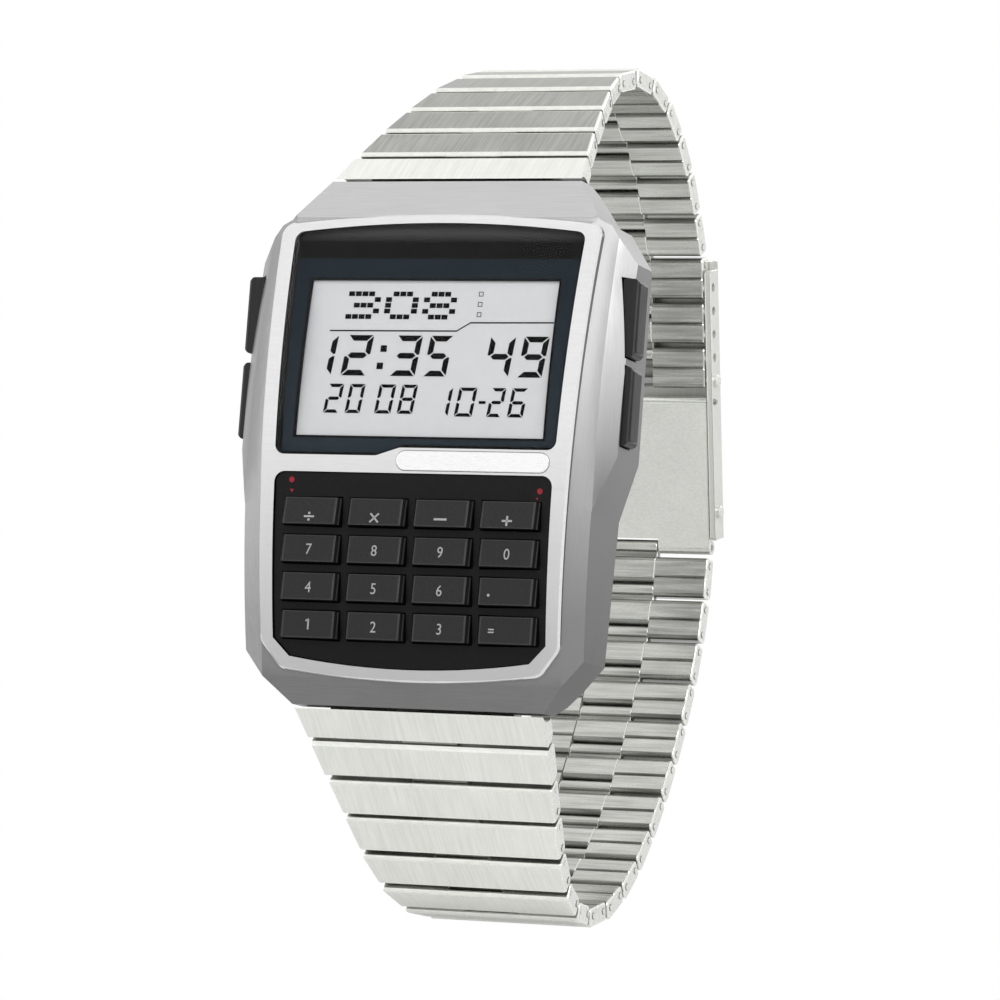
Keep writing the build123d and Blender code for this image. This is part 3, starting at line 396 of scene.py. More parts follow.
def display_print_finish():
    """Slate print behind the glass, with a black strip above that turns to a painted highlight at its top,
    and a black line round the panel.
    """
    strip_foot, painted_highlight_foot, painted_highlight_top = 16.4, 17.9, 18.8
    panel_half_width, panel_half_height, panel_z, line_width = 12.1, 7.2, 7.15, 0.22
    side_width, side_lean = 13.33, 0.03
    foot_step = (-3.7, -1.4, -1.55, -0.8)
    made, tree, shader, place, grain = speckled_finish("display_print", 3.0)
    x, _, z = apart(tree, place)
    width = calc(tree, "ABSOLUTE", x)
    strip = calc(tree, "GREATER_THAN", z, strip_foot)
    side_limit = calc(tree, "ADD", calc(tree, "MULTIPLY", z, side_lean), side_width)
    side = calc(tree, "GREATER_THAN", width, side_limit)
    off_side = calc(tree, "SUBTRACT", width, panel_half_width)
    off_middle = calc(tree, "ABSOLUTE", calc(tree, "SUBTRACT", z, panel_z))
    off_end = calc(tree, "SUBTRACT", off_middle, panel_half_height)
    border = calc(tree, "LESS_THAN", most(tree, off_side, off_end), line_width)
    foot = calc(tree, "LESS_THAN", z, spread(tree, x, *foot_step))
    black = most(tree, side, border, foot)
    fall = spread(tree, z, strip_foot, -1.0, 0.0, 1.0)
    slate = tones(tree, fall, display_tone(22, 32, 39), display_tone(40, 49, 56))
    # Painted highlight: the black strip turns grey towards its top edge, in the print's colour.
    painted_highlight = tones(tree, spread(tree, z, painted_highlight_foot, painted_highlight_top, 0.0, 1.0), grey(2), grey(64))
    colour = tones(tree, black, tones(tree, strip, slate, painted_highlight), grey(7))
    colour = tones(tree, calc(tree, "MULTIPLY", grain["Tone"], 0.08), colour, grey(60))
    surfaced(tree, shader, colour, grain["Tone"], (0.35, 0.45), {"Specular IOR Level": 0.05})
    return made


def lcd_film_finish():
    """Pale grey polariser of the panel, a little darker towards its edge."""
    made, tree, shader, place, grain = speckled_finish("lcd_film", 9.0)
    rim = spread(tree, calc(tree, "ABSOLUTE", apart(tree, place)[0]), 10.8, 12.1, 0.0, 0.12)
    base = tones(tree, grain["Tone"], display_tone(203, 204, 206), display_tone(210, 211, 212))
    colour = tones(tree, rim, base, grey(140))
    fill(tree, shader, {"Base Color": colour, "Roughness": 0.5, "Specular IOR Level": 0.05})
    return made


def glass_finish():
    """Clear mineral glass. Shadow and diffuse rays pass it, so what lies behind is lit."""
    made, tree, shader, _, grain = speckled_finish("display_glass", 0.5)
    colour = tones(tree, grain["Tone"], grey(252), grey(255))
    clear = {"Transmission Weight": 1.0, "IOR": 1.45, "Specular Tint": (0.08, 0.08, 0.08, 1.0)}
    surfaced(tree, shader, colour, grain["Tone"], (0.0, 0.02), clear)
    light = node(tree, "ShaderNodeLightPath").outputs
    passing = most(tree, light["Is Shadow Ray"], light["Is Diffuse Ray"])
    partly_clear(tree, passing, shader)
    return made


def board_finish():
    """Green laminate with rows of copper tracks under the lacquer."""
    made, tree, shader, place, grain = speckled_finish("board_laminate", 5.0)
    turned = node(tree, "ShaderNodeMapping", {"Vector": place, "Rotation": (radians(90), 0, 0)}).outputs[0]
    tracks = node(tree, "ShaderNodeTexBrick", {"Vector": turned, "Scale": 0.9, "Mortar Size": 0.06})
    green = tones(tree, grain["Tone"], display_tone(24, 78, 48), display_tone(30, 92, 58))
    colour = tones(tree, tracks.outputs["Fac"], green, display_tone(60, 128, 78))
    surfaced(tree, shader, colour, grain["Tone"], (0.3, 0.42))
    bumped(tree, shader, tracks.outputs["Fac"], 0.3, 0.03)
    return made


display_print = display_print_finish()
lcd_film = lcd_film_finish()
display_glass = glass_finish()
board_laminate = board_finish()


# Mesh helpers, with turns in degrees and distances in millimetres
plain_crease = 32
link_crease = 40
small_crease = 30
join_distance = 0.002
flat_turn = 0.4
round_turn = 28


def plain_mesh(piece):
    """Mesh of a piece with its modifiers worked in."""
    graph = bpy.context.evaluated_depsgraph_get()
    worked = piece.evaluated_get(graph)
    return bpy.data.meshes.new_from_object(worked, preserve_all_data_layers=True, depsgraph=graph)


def even_shading(piece, crease):
    """Smooth shading that keeps flat faces flat and sharp edges sharp."""
    piece.data.shade_smooth()
    work = bmesh.new()
    work.from_mesh(piece.data)
    work.normal_update()
    for edge in work.edges:
        edge.smooth = len(edge.link_faces) == 2 and edge.calc_face_angle(pi) < radians(crease)
    work.to_mesh(piece.data)
    work.free()
    weighted = piece.modifiers.new("even_shading", "WEIGHTED_NORMAL")
    weighted.keep_sharp = True
    smoothed = plain_mesh(piece)
    piece.modifiers.clear()
    piece.data = smoothed


def mesh_from(name, work):
    """Mesh of a worked bmesh, which is then freed."""
    mesh = bpy.data.meshes.new(name)
    work.to_mesh(mesh)
    work.free()
    return mesh


def walled(work, rings):
    """Closed wall from rings of points, capped at both ends."""
    for first, second in zip(rings, rings[1:]):
        for k in range(len(first)):
            after = (k + 1) % len(first)
            work.faces.new((first[k], first[after], second[after], second[k]))
    work.faces.new(rings[0])
    work.faces.new(rings[-1])


def circle(u, v, radius, steps=16):
    """Points round a circle."""
    turns = [2 * pi * k / steps for k in range(steps)]
    return [(u + radius * cos(turn), v + radius * sin(turn)) for turn in turns]


def finished(name, work, body, finishes, replaced=(), crease=plain_crease):
    """Piece from a worked mesh, with its finishes, its body and the node that it stands for."""
    mesh = mesh_from(name, work) if isinstance(work, bmesh.types.BMesh) else work
    piece = added(name, mesh)
    for finish in finishes:
        mesh.materials.append(finish)
    even_shading(piece, crease)
    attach(piece, body)
    if replaced:
        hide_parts(*replaced)


def joined_copy(node_name):
    """Copy of a CAD node's mesh with its loose triangles joined to whole faces."""
    work = bmesh.new()
    work.from_mesh(frame["nodes"][node_name].data)
    bmesh.ops.remove_doubles(work, verts=work.verts, dist=join_distance * MM)
    bmesh.ops.dissolve_limit(work, angle_limit=radians(flat_turn), verts=work.verts, edges=work.edges)
    for face in work.faces:
        face.material_index = 0
    return work


def zoned_copy(node_name, zone_of):
    """Joined copy of a CAD node, with a finish chosen for each face."""
    work = joined_copy(node_name)
    work.normal_update()
    for face in work.faces:
        face.material_index = zone_of(face)
    return work


def soften(work, width, shortest, rim_slot=1, where=None):
    """Rounds the long sharp outer edges of a mesh. The rounds take the rim's finish."""
    edges = []
    for edge in work.edges:
        if not edge.is_manifold or edge.calc_length() < shortest * MM:
            continue
        if not edge.is_convex or edge.calc_face_angle(0) < radians(round_turn):
            continue
        if where and not where((edge.verts[0].co + edge.verts[1].co) / 2 / MM):
            continue
        edges.append(edge)
    bmesh.ops.bevel(
        work, geom=edges, offset=width * MM, offset_type="OFFSET", segments=2, profile=0.5,
        affect="EDGES", clamp_overlap=False, loop_slide=True, material=rim_slot,
    )
    return work


def soft_copy(node_name, width, shortest, finishes, where=None):
    """Rounded copy of a CAD node that stands for it."""
    work = soften(joined_copy(node_name), width, shortest, where=where)
    finished("soft_" + node_name, work, body_of_node[node_name], finishes, (node_name,))


# Case body, with a finish for each of its regions
case_finishes = [
    case_under, bezel_rim, bezel_satin, shaded_upper_slope, shaded_foot_slope, shaded_inner_shoulder, lit_outer_shoulder,
    shaded_left_shoulder, shaded_flank_brushed, well_black,
]
UNDER, RIM, BEZEL, UPPER_SLOPE, FOOT_SLOPE, INNER, OUTER, LEFT, FLANK, WELL = range(len(case_finishes))
opening_half_width = 14.45
opening_foot = -20.95
opening_top = 19.9
well_floor = 4.0
label_middle = (5.75, -2.3)
label_reach = (7.5, 0.97)
slope_start = 20

# Depths below the case's face, and parts of a face's normal, that tell the regions apart
front_depth, rim_depth, label_depth, well_depth = 0.2, bezel_height + 0.02, 0.5, 0.55
front_facing, slope_facing, shoulder_facing = -0.9, -0.2, -0.15
slope_tilt, left_tilt, outer_tilt, flank_tilt = 0.35, -0.1, 0.55, 0.6


def case_region(face):
    """Region of the case that a face belongs to."""
    spot = face.calc_center_median() / MM
    out = face.normal
    below = spot.y - face_y(spot.z)
    in_opening = abs(spot.x) < opening_half_width and opening_foot < spot.z < opening_top
    on_front = out.y < front_facing and abs(below) < front_depth
    along_label = abs(spot.x - label_middle[0]) < label_reach[0]
    beside_label = abs(spot.z - label_middle[1]) < label_reach[1]
    if on_front or (along_label and beside_label and below < label_depth):
        return BEZEL
    if in_opening and spot.y < -well_floor and below > well_depth:
        return WELL
    if below < rim_depth and out.y > front_facing:
        return RIM
    if abs(spot.z) > slope_start and abs(out.z) > slope_tilt and out.y < slope_facing:
        return UPPER_SLOPE if spot.z > 0 else FOOT_SLOPE
    if out.y < shoulder_facing:
        if out.x < left_tilt:
            return LEFT
        return OUTER if out.x > outer_tilt else INNER
    return FLANK if abs(out.x) > flank_tilt else UNDER


def dress_case():
    """Case body with a finish on each region, whose tones paint the light and shade on that region."""
    work = zoned_copy("case_body", case_region)
    finished("dressed_case", work, "case", case_finishes, ("case_body",))


# Marks printed or shown on a flat place: shapes in X and Z on a plane that leans along Z
mark_sink = 0.01
mark_lift = 0.03


def on_plane(plane, z):
    """Depth of a leaning plane at a height."""
    (high_z, high_y), (low_z, low_y) = plane
    return low_y + (high_y - low_y) * (z - low_z) / (high_z - low_z)


def mark_sheet(name, outlines, plane, body, finish):
    """Thin raised marks from closed outlines in X and Z on a leaning plane."""
    work = bmesh.new()
    for outline in outlines:
        rings = []
        for rise in (mark_sink, -mark_lift):
            ring = [(x * MM, (on_plane(plane, z) + rise) * MM, z * MM) for x, z in outline]
            rings.append([work.verts.new(spot) for spot in ring])
        walled(work, rings)
    bmesh.ops.recalc_face_normals(work, faces=work.faces)
    finished(name, work, body, [finish])


def box_outline(low_x, high_x, low_z, high_z):
    return [(low_x, low_z), (high_x, low_z), (high_x, high_z), (low_x, high_z)]


def dot_mark(x, z, radius):
    return circle(x, z, radius, 14)


segments_of = {
    "0": "abcdef", "1": "bc", "2": "abged", "3": "abgcd", "4": "fgbc", "5": "afgcd",
    "6": "afgedc", "8": "abcdefg", "9": "abcdfg",
}


def figure_outlines(character, low_x, high_x, low_z, high_z, bar, gap):
    """Seven-segment figure between two sides, with mitred bars that lean to the right."""
    lean = 0.11
    height = high_z - low_z
    width = high_x - low_x - lean * height
    left = low_x
    if character == "1":
        width, left = 4 * bar, high_x - lean * height - 4 * bar
    middle = height / 2
    half = bar / 2
    point = 0.45 * bar
    upper = [
        (0, height - gap), (bar, height - bar - gap), (bar, middle + half + gap),
        (0.35 * bar, middle + gap), (0, middle + 1.5 * gap),
    ]
    lower = [(x, height - z) for x, z in upper]
    near, far = bar + gap, width - bar - gap
    shapes = {
        "a": [(gap, height), (width - gap, height), (far, height - bar), (near, height - bar)],
        "b": [(width - x, z) for x, z in upper],
        "c": [(width - x, z) for x, z in lower],
        "d": [(near, bar), (far, bar), (width - gap, 0), (gap, 0)],
        "e": lower,
        "f": upper,
        "g": [
            (point + gap, middle), (near, middle + half), (far, middle + half),
            (width - point - gap, middle), (far, middle - half), (near, middle - half),
        ],
    }
    outlines = []
    for name in segments_of[character]:
        outlines.append([(left + x + lean * z, low_z + z) for x, z in shapes[name]])
    return outlines


dot_rows_of = {
    "3": ("11110", "00001", "01110", "00001", "11110"),
    "0": ("01110", "10001", "10001", "10001", "01110"),
    "8": ("01110", "10001", "01110", "10001", "01110"),
}


def dot_outlines(character, low_x, high_z, pitch_x, pitch_z):
    """Figure of the top row, from small blocks in five columns and five rows."""
    lean, share_x, share_z = 0.06, 0.87, 0.82
    outlines = []
    for row, line in enumerate(dot_rows_of[character]):
        for column, dot in enumerate(line):
            if dot == "1":
                x = low_x + column * pitch_x - lean * row * pitch_z
                z = high_z - row * pitch_z
                outlines.append(box_outline(x, x + share_x * pitch_x, z - share_z * pitch_z, z))
    return outlines


lcd_thickness = 1.0


def lcd_plane():
    """Front plane of the panel, as two places of height and depth."""
    low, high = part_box("lcd_panel")
    return (high.z / MM, high.y / MM - lcd_thickness), (low.z / MM, low.y / MM)


# Rows of figures on the panel: low and high edge, bar, gap, and each figure with its two sides
figure_rows = (
    (5.54, 9.28, 0.52, 0.09, (
        ("1", -9.87, -8.98), ("2", -8.42, -5.5), ("3", -3.6, -0.69), ("5", -0.31, 2.33),
        ("4", 5.58, 8.38), ("9", 8.82, 11.63),
    )),
    (2.07, 4.75, 0.3, 0.06, (
        ("2", -9.72, -7.92), ("0", -7.58, -5.8), ("0", -4.67, -2.77), ("8", -2.44, -0.64),
    )),
    (1.9, 4.55, 0.3, 0.06, (
        ("1", 2.27, 2.83), ("0", 3.16, 5.18), ("2", 6.3, 7.98), ("6", 8.3, 10.1),
    )),
)
dot_row = (("3", -8.45), ("0", -4.7), ("8", -0.95))
dot_row_top = 13.34
dot_pitch = (0.66, 0.53)
colon_dots = ((-4.42, 8.05), (-4.62, 6.45))
colon_half = 0.3
date_dash = (5.45, 6.1, 3.08, 3.34)
rule_line = ((-9.95, 9.68), (2.54, 9.73), (3.8, 10.5), (11.86, 10.56))
rule_half = 0.06
square_heights = (13.15, 12.2, 11.26)
square_near, square_far = 4.32, 4.76
square_half, square_open = 0.22, 0.15


def dress_display():
    """Figures and marks on the panel, and the glass over it."""
    plane = lcd_plane()
    ink = []
    for character, low_x in dot_row:
        ink += dot_outlines(character, low_x, dot_row_top, *dot_pitch)
    for low_z, high_z, bar, gap, figures in figure_rows:
        for character, low_x, high_x in figures:
            ink += figure_outlines(character, low_x, high_x, low_z, high_z, bar, gap)
    for x, z in colon_dots:
        ink.append(box_outline(x - colon_half, x + colon_half, z - colon_half, z + colon_half))
    ink.append(box_outline(*date_dash))
    for start, end in zip(rule_line, rule_line[1:]):
        under = [(x, z - rule_half) for x, z in (start, end)]
        over = [(x, z + rule_half) for x, z in (end, start)]
        ink.append(under + over)
    mark_sheet("lcd_figures", ink, plane, "case", lcd_ink)
    faint = []
    side = square_half - square_open
    for z in square_heights:
        low, high = z - square_open, z + square_open
        faint += [
            box_outline(square_near, square_far, high, high + side),
            box_outline(square_near, square_far, low - side, low),
            box_outline(square_near, square_near + side, low, high),
            box_outline(square_far - side, square_far, low, high),
        ]
    mark_sheet("lcd_squares", faint, plane, "case", lcd_faint_ink)
    glass = joined_copy("display_window")
    replaced = ("display_window",)
    finished("display_glass", glass, "case", [display_glass], replaced, small_crease)


# Keys: rounded wedges with printed signs
key_marks = (
    ("divide", "multiply", "minus", "plus"), ("7", "8", "9", "0"),
    ("4", "5", "6", "point"), ("1", "2", "3", "equals"),
)
keys_centre_x = 0.05
key_pitch_x = 6.42
key_pitch_z = 3.38
key_height = 2.45
top_row_z = -7.05
key_rise_top = 0.55
key_rise_foot = 1.05
sign_drop = 0.55
number_height = 0.98
number_narrowing = 0.88
number_shift = (0.05, -0.08)
key_top_facing = -0.85
key_edge_start = 0.1

# Bars of a sign: offset across and up, length, thickness and turn. Dots: offset across and up, radius
sign_bars = {
    "divide": [(0, 0, 1.0, 0.17, 0)],
    "multiply": [(0, 0, 1.15, 0.16, 45), (0, 0, 1.15, 0.16, -45)],
    "minus": [(0, 0, 1.25, 0.19, 0)],
    "plus": [(0, 0, 0.95, 0.19, 0), (0, 0, 0.9, 0.19, 90)],
    "1": [(0.08, 0, 0.98, 0.15, 90), (-0.05, 0.38, 0.34, 0.13, 35)],
    "equals": [(-1.35, 0.05, 0.55, 0.12, 0), (-1.35, -0.2, 0.55, 0.12, 0)],
}
sign_dots = {"divide": [(0, 0.3, 0.12), (0, -0.3, 0.12)], "point": [(-1.6, -0.35, 0.13)]}


def bar_outline(x, z, length, thickness, turn):
    """Outline of a straight bar about a centre."""
    along = Vector((cos(radians(turn)), sin(radians(turn))))
    aside = Vector((-along.y, along.x))
    corners = []
    for side_a, side_b in ((-1, -1), (1, -1), (1, 1), (-1, 1)):
        corner = Vector((x, z)) + along * side_a * length / 2 + aside * side_b * thickness / 2
        corners.append((corner.x, corner.y))
    return corners


def sign_outlines(name, x, z):
    """Sign of a key from bars and dots."""
    outlines = [bar_outline(x + off_x, z + off_z, *bar) for off_x, off_z, *bar in sign_bars.get(name, [])]
    outlines += [dot_mark(x + off_x, z + off_z, radius) for off_x, off_z, radius in sign_dots.get(name, [])]
    return outlines


def number_mesh(character, x, z, plane):
    """Printed number on a key's top, as a thin raised mesh."""
    curve = bpy.data.curves.new("number", "FONT")
    curve.body = character
    writer = added("number", curve)
    flat = plain_mesh(writer)
    bpy.data.objects.remove(writer)
    work = bmesh.new()
    work.from_mesh(flat)
    bmesh.ops.remove_doubles(work, verts=work.verts, dist=0.0001)
    xs = [vert.co.x for vert in work.verts]
    ys = [vert.co.y for vert in work.verts]
    middle_x, middle_y = (max(xs) + min(xs)) / 2, (max(ys) + min(ys)) / 2
    scale = number_height / (max(ys) - min(ys))
    for vert in work.verts:
        across = (vert.co.x - middle_x) * scale * number_narrowing
        vert.co = (x + across, 0, z + (vert.co.y - middle_y) * scale)
    grown = bmesh.ops.extrude_face_region(work, geom=list(work.faces))
    front = {item for item in grown["geom"] if isinstance(item, bmesh.types.BMVert)}
    for vert in work.verts:
        rise = -mark_lift if vert in front else mark_sink
        vert.co = (vert.co.x * MM, (on_plane(plane, vert.co.z) + rise) * MM, vert.co.z * MM)
    bmesh.ops.recalc_face_normals(work, faces=work.faces)
    return work


def key_region(face):
    """Top or side of a key that a face belongs to."""
    spot = face.calc_center_median() / MM
    return 0 if face.normal.y < key_top_facing and spot.y < face_y(spot.z) else 1


def dress_key(mark, x, z, drop):
    """Rounded key with its printed sign or number on its leaning top."""
    name = "key_" + mark
    high_z, low_z = z + key_height / 2, z - key_height / 2
    plane = (
        (high_z, face_y(high_z) + panel_drop - key_rise_top),
        (low_z, face_y(low_z) + panel_drop - key_rise_foot),
    )
    work = zoned_copy(name, key_region)
    soften(work, 0.1, 1.2, 2, lambda spot: spot.y < face_y(spot.z) - key_edge_start)
    # Top, painted-shade sides and painted-highlight rounded edges of one plastic.
    finished("cap_" + mark, work, name, [key_top, shaded_key_side, lit_key_edge], (name,))
    if mark.isdigit() and mark != "1":
        print_work = number_mesh(mark, x + number_shift[0], z + number_shift[1], plane)
        finished("print_" + mark, print_work, name, [legend_print])
    else:
        outlines = sign_outlines(mark, x, z - drop)
        mark_sheet("print_" + mark, outlines, plane, name, legend_print)


def dress_keys():
    """Sixteen keys in four rows."""
    for row, marks in enumerate(key_marks):
        for column, mark in enumerate(marks):
            x = keys_centre_x + (column - 1.5) * key_pitch_x
            drop = sign_drop if row == 0 else 0.0
            dress_key(mark, x, top_row_z - row * key_pitch_z, drop)


# Red marks of the panel: dots by place and radius, and small triangles
red_dots = ((-11.87, -4.2, 0.27), (12.34, -4.8, 0.27))
red_triangles = (
    ((-12.0, -5.05), (-11.62, -5.05), (-11.81, -5.4)), ((11.98, -5.38), (12.22, -5.38), (12.1, -5.62)),
)
red_heights = (-4.0, -6.0)
label_level = -4.9


def dress_panel():
    """Key panel with its small red marks, and the oval plate."""
    work = joined_copy("keypad_panel")
    soften(work, 0.1, 1.0, 0)
    finished("key_panel", work, "case", [panel_black], ("keypad_panel",))
    red = [dot_mark(*dot) for dot in red_dots] + list(red_triangles)
    plane = tuple((z, face_y(z) + panel_drop) for z in red_heights)
    mark_sheet("panel_marks", red, plane, "case", mark_red)
    level = face_y(label_level) + panel_drop
    plate_finishes = [label_steel, bezel_rim]
    soft_copy("label_plate", 0.08, 0.1, plate_finishes, lambda spot: spot.y < level)


# Outer part of a pusher, whose edges are rounded
pusher_face = 17.0


def dress_pushers():
    """Four side pushers with bright rounded edges."""
    for height_word in ("upper", "lower"):
        for side_word in ("right", "left"):
            name = "pusher_" + height_word + "_" + side_word
            finishes = [pusher_grey, pusher_rim]
            soft_copy(name, 0.12, 1.0, finishes, lambda spot: abs(spot.x) > pusher_face)


# Bracelet links, drawn once in a link's own frame: X across, Y towards the wrist, Z along the band
link_near = -0.7
link_far = 3.3
link_high = 1.125
link_low = -0.725
skin_low = 0.675
link_pitch = 4.4
drawn_half_width = 12.2
pocket_half_width = 2.76
connector_half_width = 2.7
top_round = 0.32
low_round = 0.42
seam_round = 0.2
pin_round = 0.3
side_pins = (0.0, 2.55)
side_pin_height = 0.1
side_steps = ((0.2, 0), (0.06, 0.06), (0, 0.2))
connector_round = 0.1
connector_start = 0.76
eye_round = 0.65
# The Round zone takes the darker steel of painted shade and reflection.
PLATE, EDGE, INSIDE, ROUND, SIDE = range(5)
ZONE_NAMES = ("Plate", "Edge", "Inside", "Round", "Side")
# Pin ends: a dark ring of painted shadow under a bright disc, each as radius, how far proud and finish.
pin_ends = ((0.36, 0.015, ROUND), (0.27, 0.05, SIDE))
pin_end_sink = 0.1
block_lap = 0.02
pocket_clear = 0.3
# These lists carry the plate painted darker and the plate painted lighter.
upper_finishes = [shaded_upper_plate, plate_edge, inside_brushed, shaded_inside_round, link_side]
lower_finishes = [lit_lower_plate, *upper_finishes[1:]]


def arc(u, v, radius, start, stop, steps):
    """Points on part of a circle in a link's side view."""
    points = []
    for k in range(steps + 1):
        turn = radians(start + (stop - start) * k / steps)
        points.append((u + radius * cos(turn), v + radius * sin(turn)))
    return points


def chained(*runs):
    """One profile from runs of points, each with the finish of the faces that start in it."""
    profile, zones = [], []
    for points, zone, zone_after in runs:
        profile += points
        zones += [zone] * (len(points) - 1) + [zone_after]
    return profile, zones


def plate_runs():
    """Rounded near and far edges of a link's plate."""
    high = link_high - top_round
    return (
        (arc(link_near + top_round, high, top_round, 180, 90, 3), EDGE, PLATE),
        (arc(link_far - top_round, high, top_round, 90, 0, 3), EDGE, ROUND),
    )


def lobe_run(u, start, zone_after):
    """Quarter round of a folded lobe, on the side towards the wrist."""
    return arc(u, link_low + low_round, low_round, start, start - 90, 4), ROUND, zone_after


def block_profile():
    """Side view of a link's side block: flat plate outside, two folded lobes inside."""
    middle = (link_near + link_far) / 2
    seam_v = link_low + seam_round
    return chained(
        *plate_runs(),
        lobe_run(link_far - low_round, 0, INSIDE),
        (arc(middle + seam_round, seam_v, seam_round, -90, -172, 3), ROUND, ROUND),
        (arc(middle - seam_round, seam_v, seam_round, -8, -90, 3), ROUND, INSIDE),
        lobe_run(link_near + low_round, -90, ROUND),
    )


def skin_profile():
    """Side view of the plate over the middle pocket."""
    return chained(*plate_runs(), ([(link_far, skin_low), (link_near, skin_low)], ROUND, ROUND))


def connector_profile():
    """Side view of the middle piece, from under the plate to the eye round the next pin."""
    return chained(
        ([(connector_start, skin_low), (link_far, skin_low)], ROUND, ROUND),
        (arc(link_pitch, 0, eye_round, 115, -50, 7), ROUND, INSIDE),
        (arc(link_pitch, 0, eye_round, -68, -112, 2), INSIDE, INSIDE),
        (arc(link_pitch, 0, eye_round, -130, -156, 2), ROUND, ROUND),
        lobe_run(link_far - low_round, 0, INSIDE),
        lobe_run(connector_start + low_round, -90, ROUND),
    )


def disc_profile(u, v, radius):
    """Side view of a pin or of its end."""
    return chained((arc(u, v, radius, 0, 330, 11), ROUND, ROUND))


def add_slab(work, drawn, stations, cap_zone, zone_mark, along_mark):
    """Closed bar along X from a profile repeated at each station and drawn in where asked."""
    profile, zones = drawn
    us = [u for u, v in profile]
    vs = [v for u, v in profile]
    middle_u, middle_v = (max(us) + min(us)) / 2, (max(vs) + min(vs)) / 2
    half_u, half_v = (max(us) - min(us)) / 2, (max(vs) - min(vs)) / 2
    rings = []
    for x, inset in stations:
        ring = []
        for u, v in profile:
            drawn_u = middle_u + (u - middle_u) * (1 - inset / half_u)
            drawn_v = middle_v + (v - middle_v) * (1 - inset / half_v)
            vert = work.verts.new((x * MM, -drawn_v * MM, drawn_u * MM))
            vert[along_mark] = u
            ring.append(vert)
        rings.append(ring)
    count = len(profile)
    for (first, second), (here, after) in zip(zip(rings, rings[1:]), zip(stations, stations[1:])):
        for k in range(count):
            following = (k + 1) % count
            face = work.faces.new((first[k], first[following], second[following], second[k]))
            face[zone_mark] = zones[k] if here[1] == after[1] == 0 else EDGE
    for ring in (rings[0], rings[-1]):
        work.faces.new(ring)[zone_mark] = cap_zone


def link_shape(name, with_connector):
    """Drawn link as an object that the link tree repeats."""
    work = bmesh.new()
    marks = (work.faces.layers.int.new("zone"), work.verts.layers.float.new("along"))
    half = drawn_half_width
    for side in (-1, 1):
        stations = [(side * (pocket_half_width - block_lap), 0)]
        stations += [(side * (half - back), inset) for back, inset in side_steps]
        add_slab(work, block_profile(), stations, SIDE, *marks)
        for u in side_pins:
            for radius, proud, cap in pin_ends:
                ends = [(side * (half - pin_end_sink), 0), (side * (half + proud), 0)]
                add_slab(work, disc_profile(u, side_pin_height, radius), ends, cap, *marks)
    ends = [(-pocket_half_width, 0), (pocket_half_width, 0)]
    for profile in (skin_profile(), disc_profile(0, 0, pin_round)):
        add_slab(work, profile, ends, ROUND, *marks)
    if with_connector:
        reach, inner = connector_half_width, connector_half_width - connector_round
        ends = [(-reach, connector_round), (-inner, 0), (inner, 0), (reach, connector_round)]
        add_slab(work, connector_profile(), ends, ROUND, *marks)
    bmesh.ops.recalc_face_normals(work, faces=work.faces)
    return bpy.data.objects.new(name, mesh_from(name, work))


def new_tree(name, wanted):
    """Geometry tree for a shape at some places: tree, what its inputs give, its result and identifiers."""
    tree = bpy.data.node_groups.new(name, "GeometryNodeTree")
    sockets = {}
    for label, kind in [("Places", "NodeSocketGeometry"), ("Shape", "NodeSocketObject"), *wanted]:
        sockets[label] = tree.interface.new_socket(label, in_out="INPUT", socket_type=kind).identifier
    tree.interface.new_socket("Made", in_out="OUTPUT", socket_type="NodeSocketGeometry")
    given = tree.nodes.new("NodeGroupInput").outputs
    return tree, given, tree.nodes.new("NodeGroupOutput").inputs[0], sockets


def carried(tree, label, kind="FLOAT"):
    """Named value that each place or point carries."""
    made = node(tree, "GeometryNodeInputNamedAttribute", {"Name": label}, data_type=kind)
    return made.outputs["Attribute"]


def set_out(tree, given):
    """The given shape on each place, turned as the place says and made real."""
    shape = node(tree, "GeometryNodeObjectInfo", {"Object": given["Shape"]}).outputs["Geometry"]
    turn = node(tree, "FunctionNodeEulerToRotation", {0: carried(tree, "turn", "FLOAT_VECTOR")}).outputs[0]
    inputs = {"Points": given["Places"], "Instance": shape, "Rotation": turn}
    placed = node(tree, "GeometryNodeInstanceOnPoints", inputs).outputs[0]
    return node(tree, "GeometryNodeRealizeInstances", {0: placed}).outputs[0]


def link_tree():
    """Tree that sets a drawn link on each place, gives it its width and its finishes."""
    widths = ("Near edge", "Far edge", "Drawn half width", "Pocket half width")
    wanted = [(label, "NodeSocketFloat") for label in widths]
    wanted += [(label, "NodeSocketMaterial") for label in ZONE_NAMES]
    tree, given, result, sockets = new_tree("folded_links", wanted)
    real = set_out(tree, given)
    ends = carried(tree, "near_half"), carried(tree, "far_half")
    along = carried(tree, "along")
    width = spread(tree, along, given["Near edge"], given["Far edge"], *ends, clamp=False)
    spot = node(tree, "GeometryNodeInputPosition").outputs[0]
    x = apart(tree, spot)[0]
    beside = calc(tree, "GREATER_THAN", calc(tree, "ABSOLUTE", x), given["Pocket half width"])
    change = calc(tree, "MULTIPLY", calc(tree, "SUBTRACT", width, given["Drawn half width"]), beside)
    across = calc(tree, "MULTIPLY", calc(tree, "SIGN", x), change)
    shift = node(tree, "ShaderNodeCombineXYZ", {0: across}).outputs[0]
    shown = node(tree, "GeometryNodeSetPosition", {"Geometry": real, "Offset": shift}).outputs[0]
    zone = carried(tree, "zone", "INT")
    for number, label in enumerate(ZONE_NAMES):
        chosen = node(tree, "FunctionNodeCompare", {2: zone, 3: number}, data_type="INT", operation="EQUAL")
        inputs = {"Geometry": shown, "Selection": chosen.outputs[0], "Material": given[label]}
        shown = node(tree, "GeometryNodeSetMaterial", inputs).outputs[0]
    tree.links.new(shown, result)
    return tree, sockets


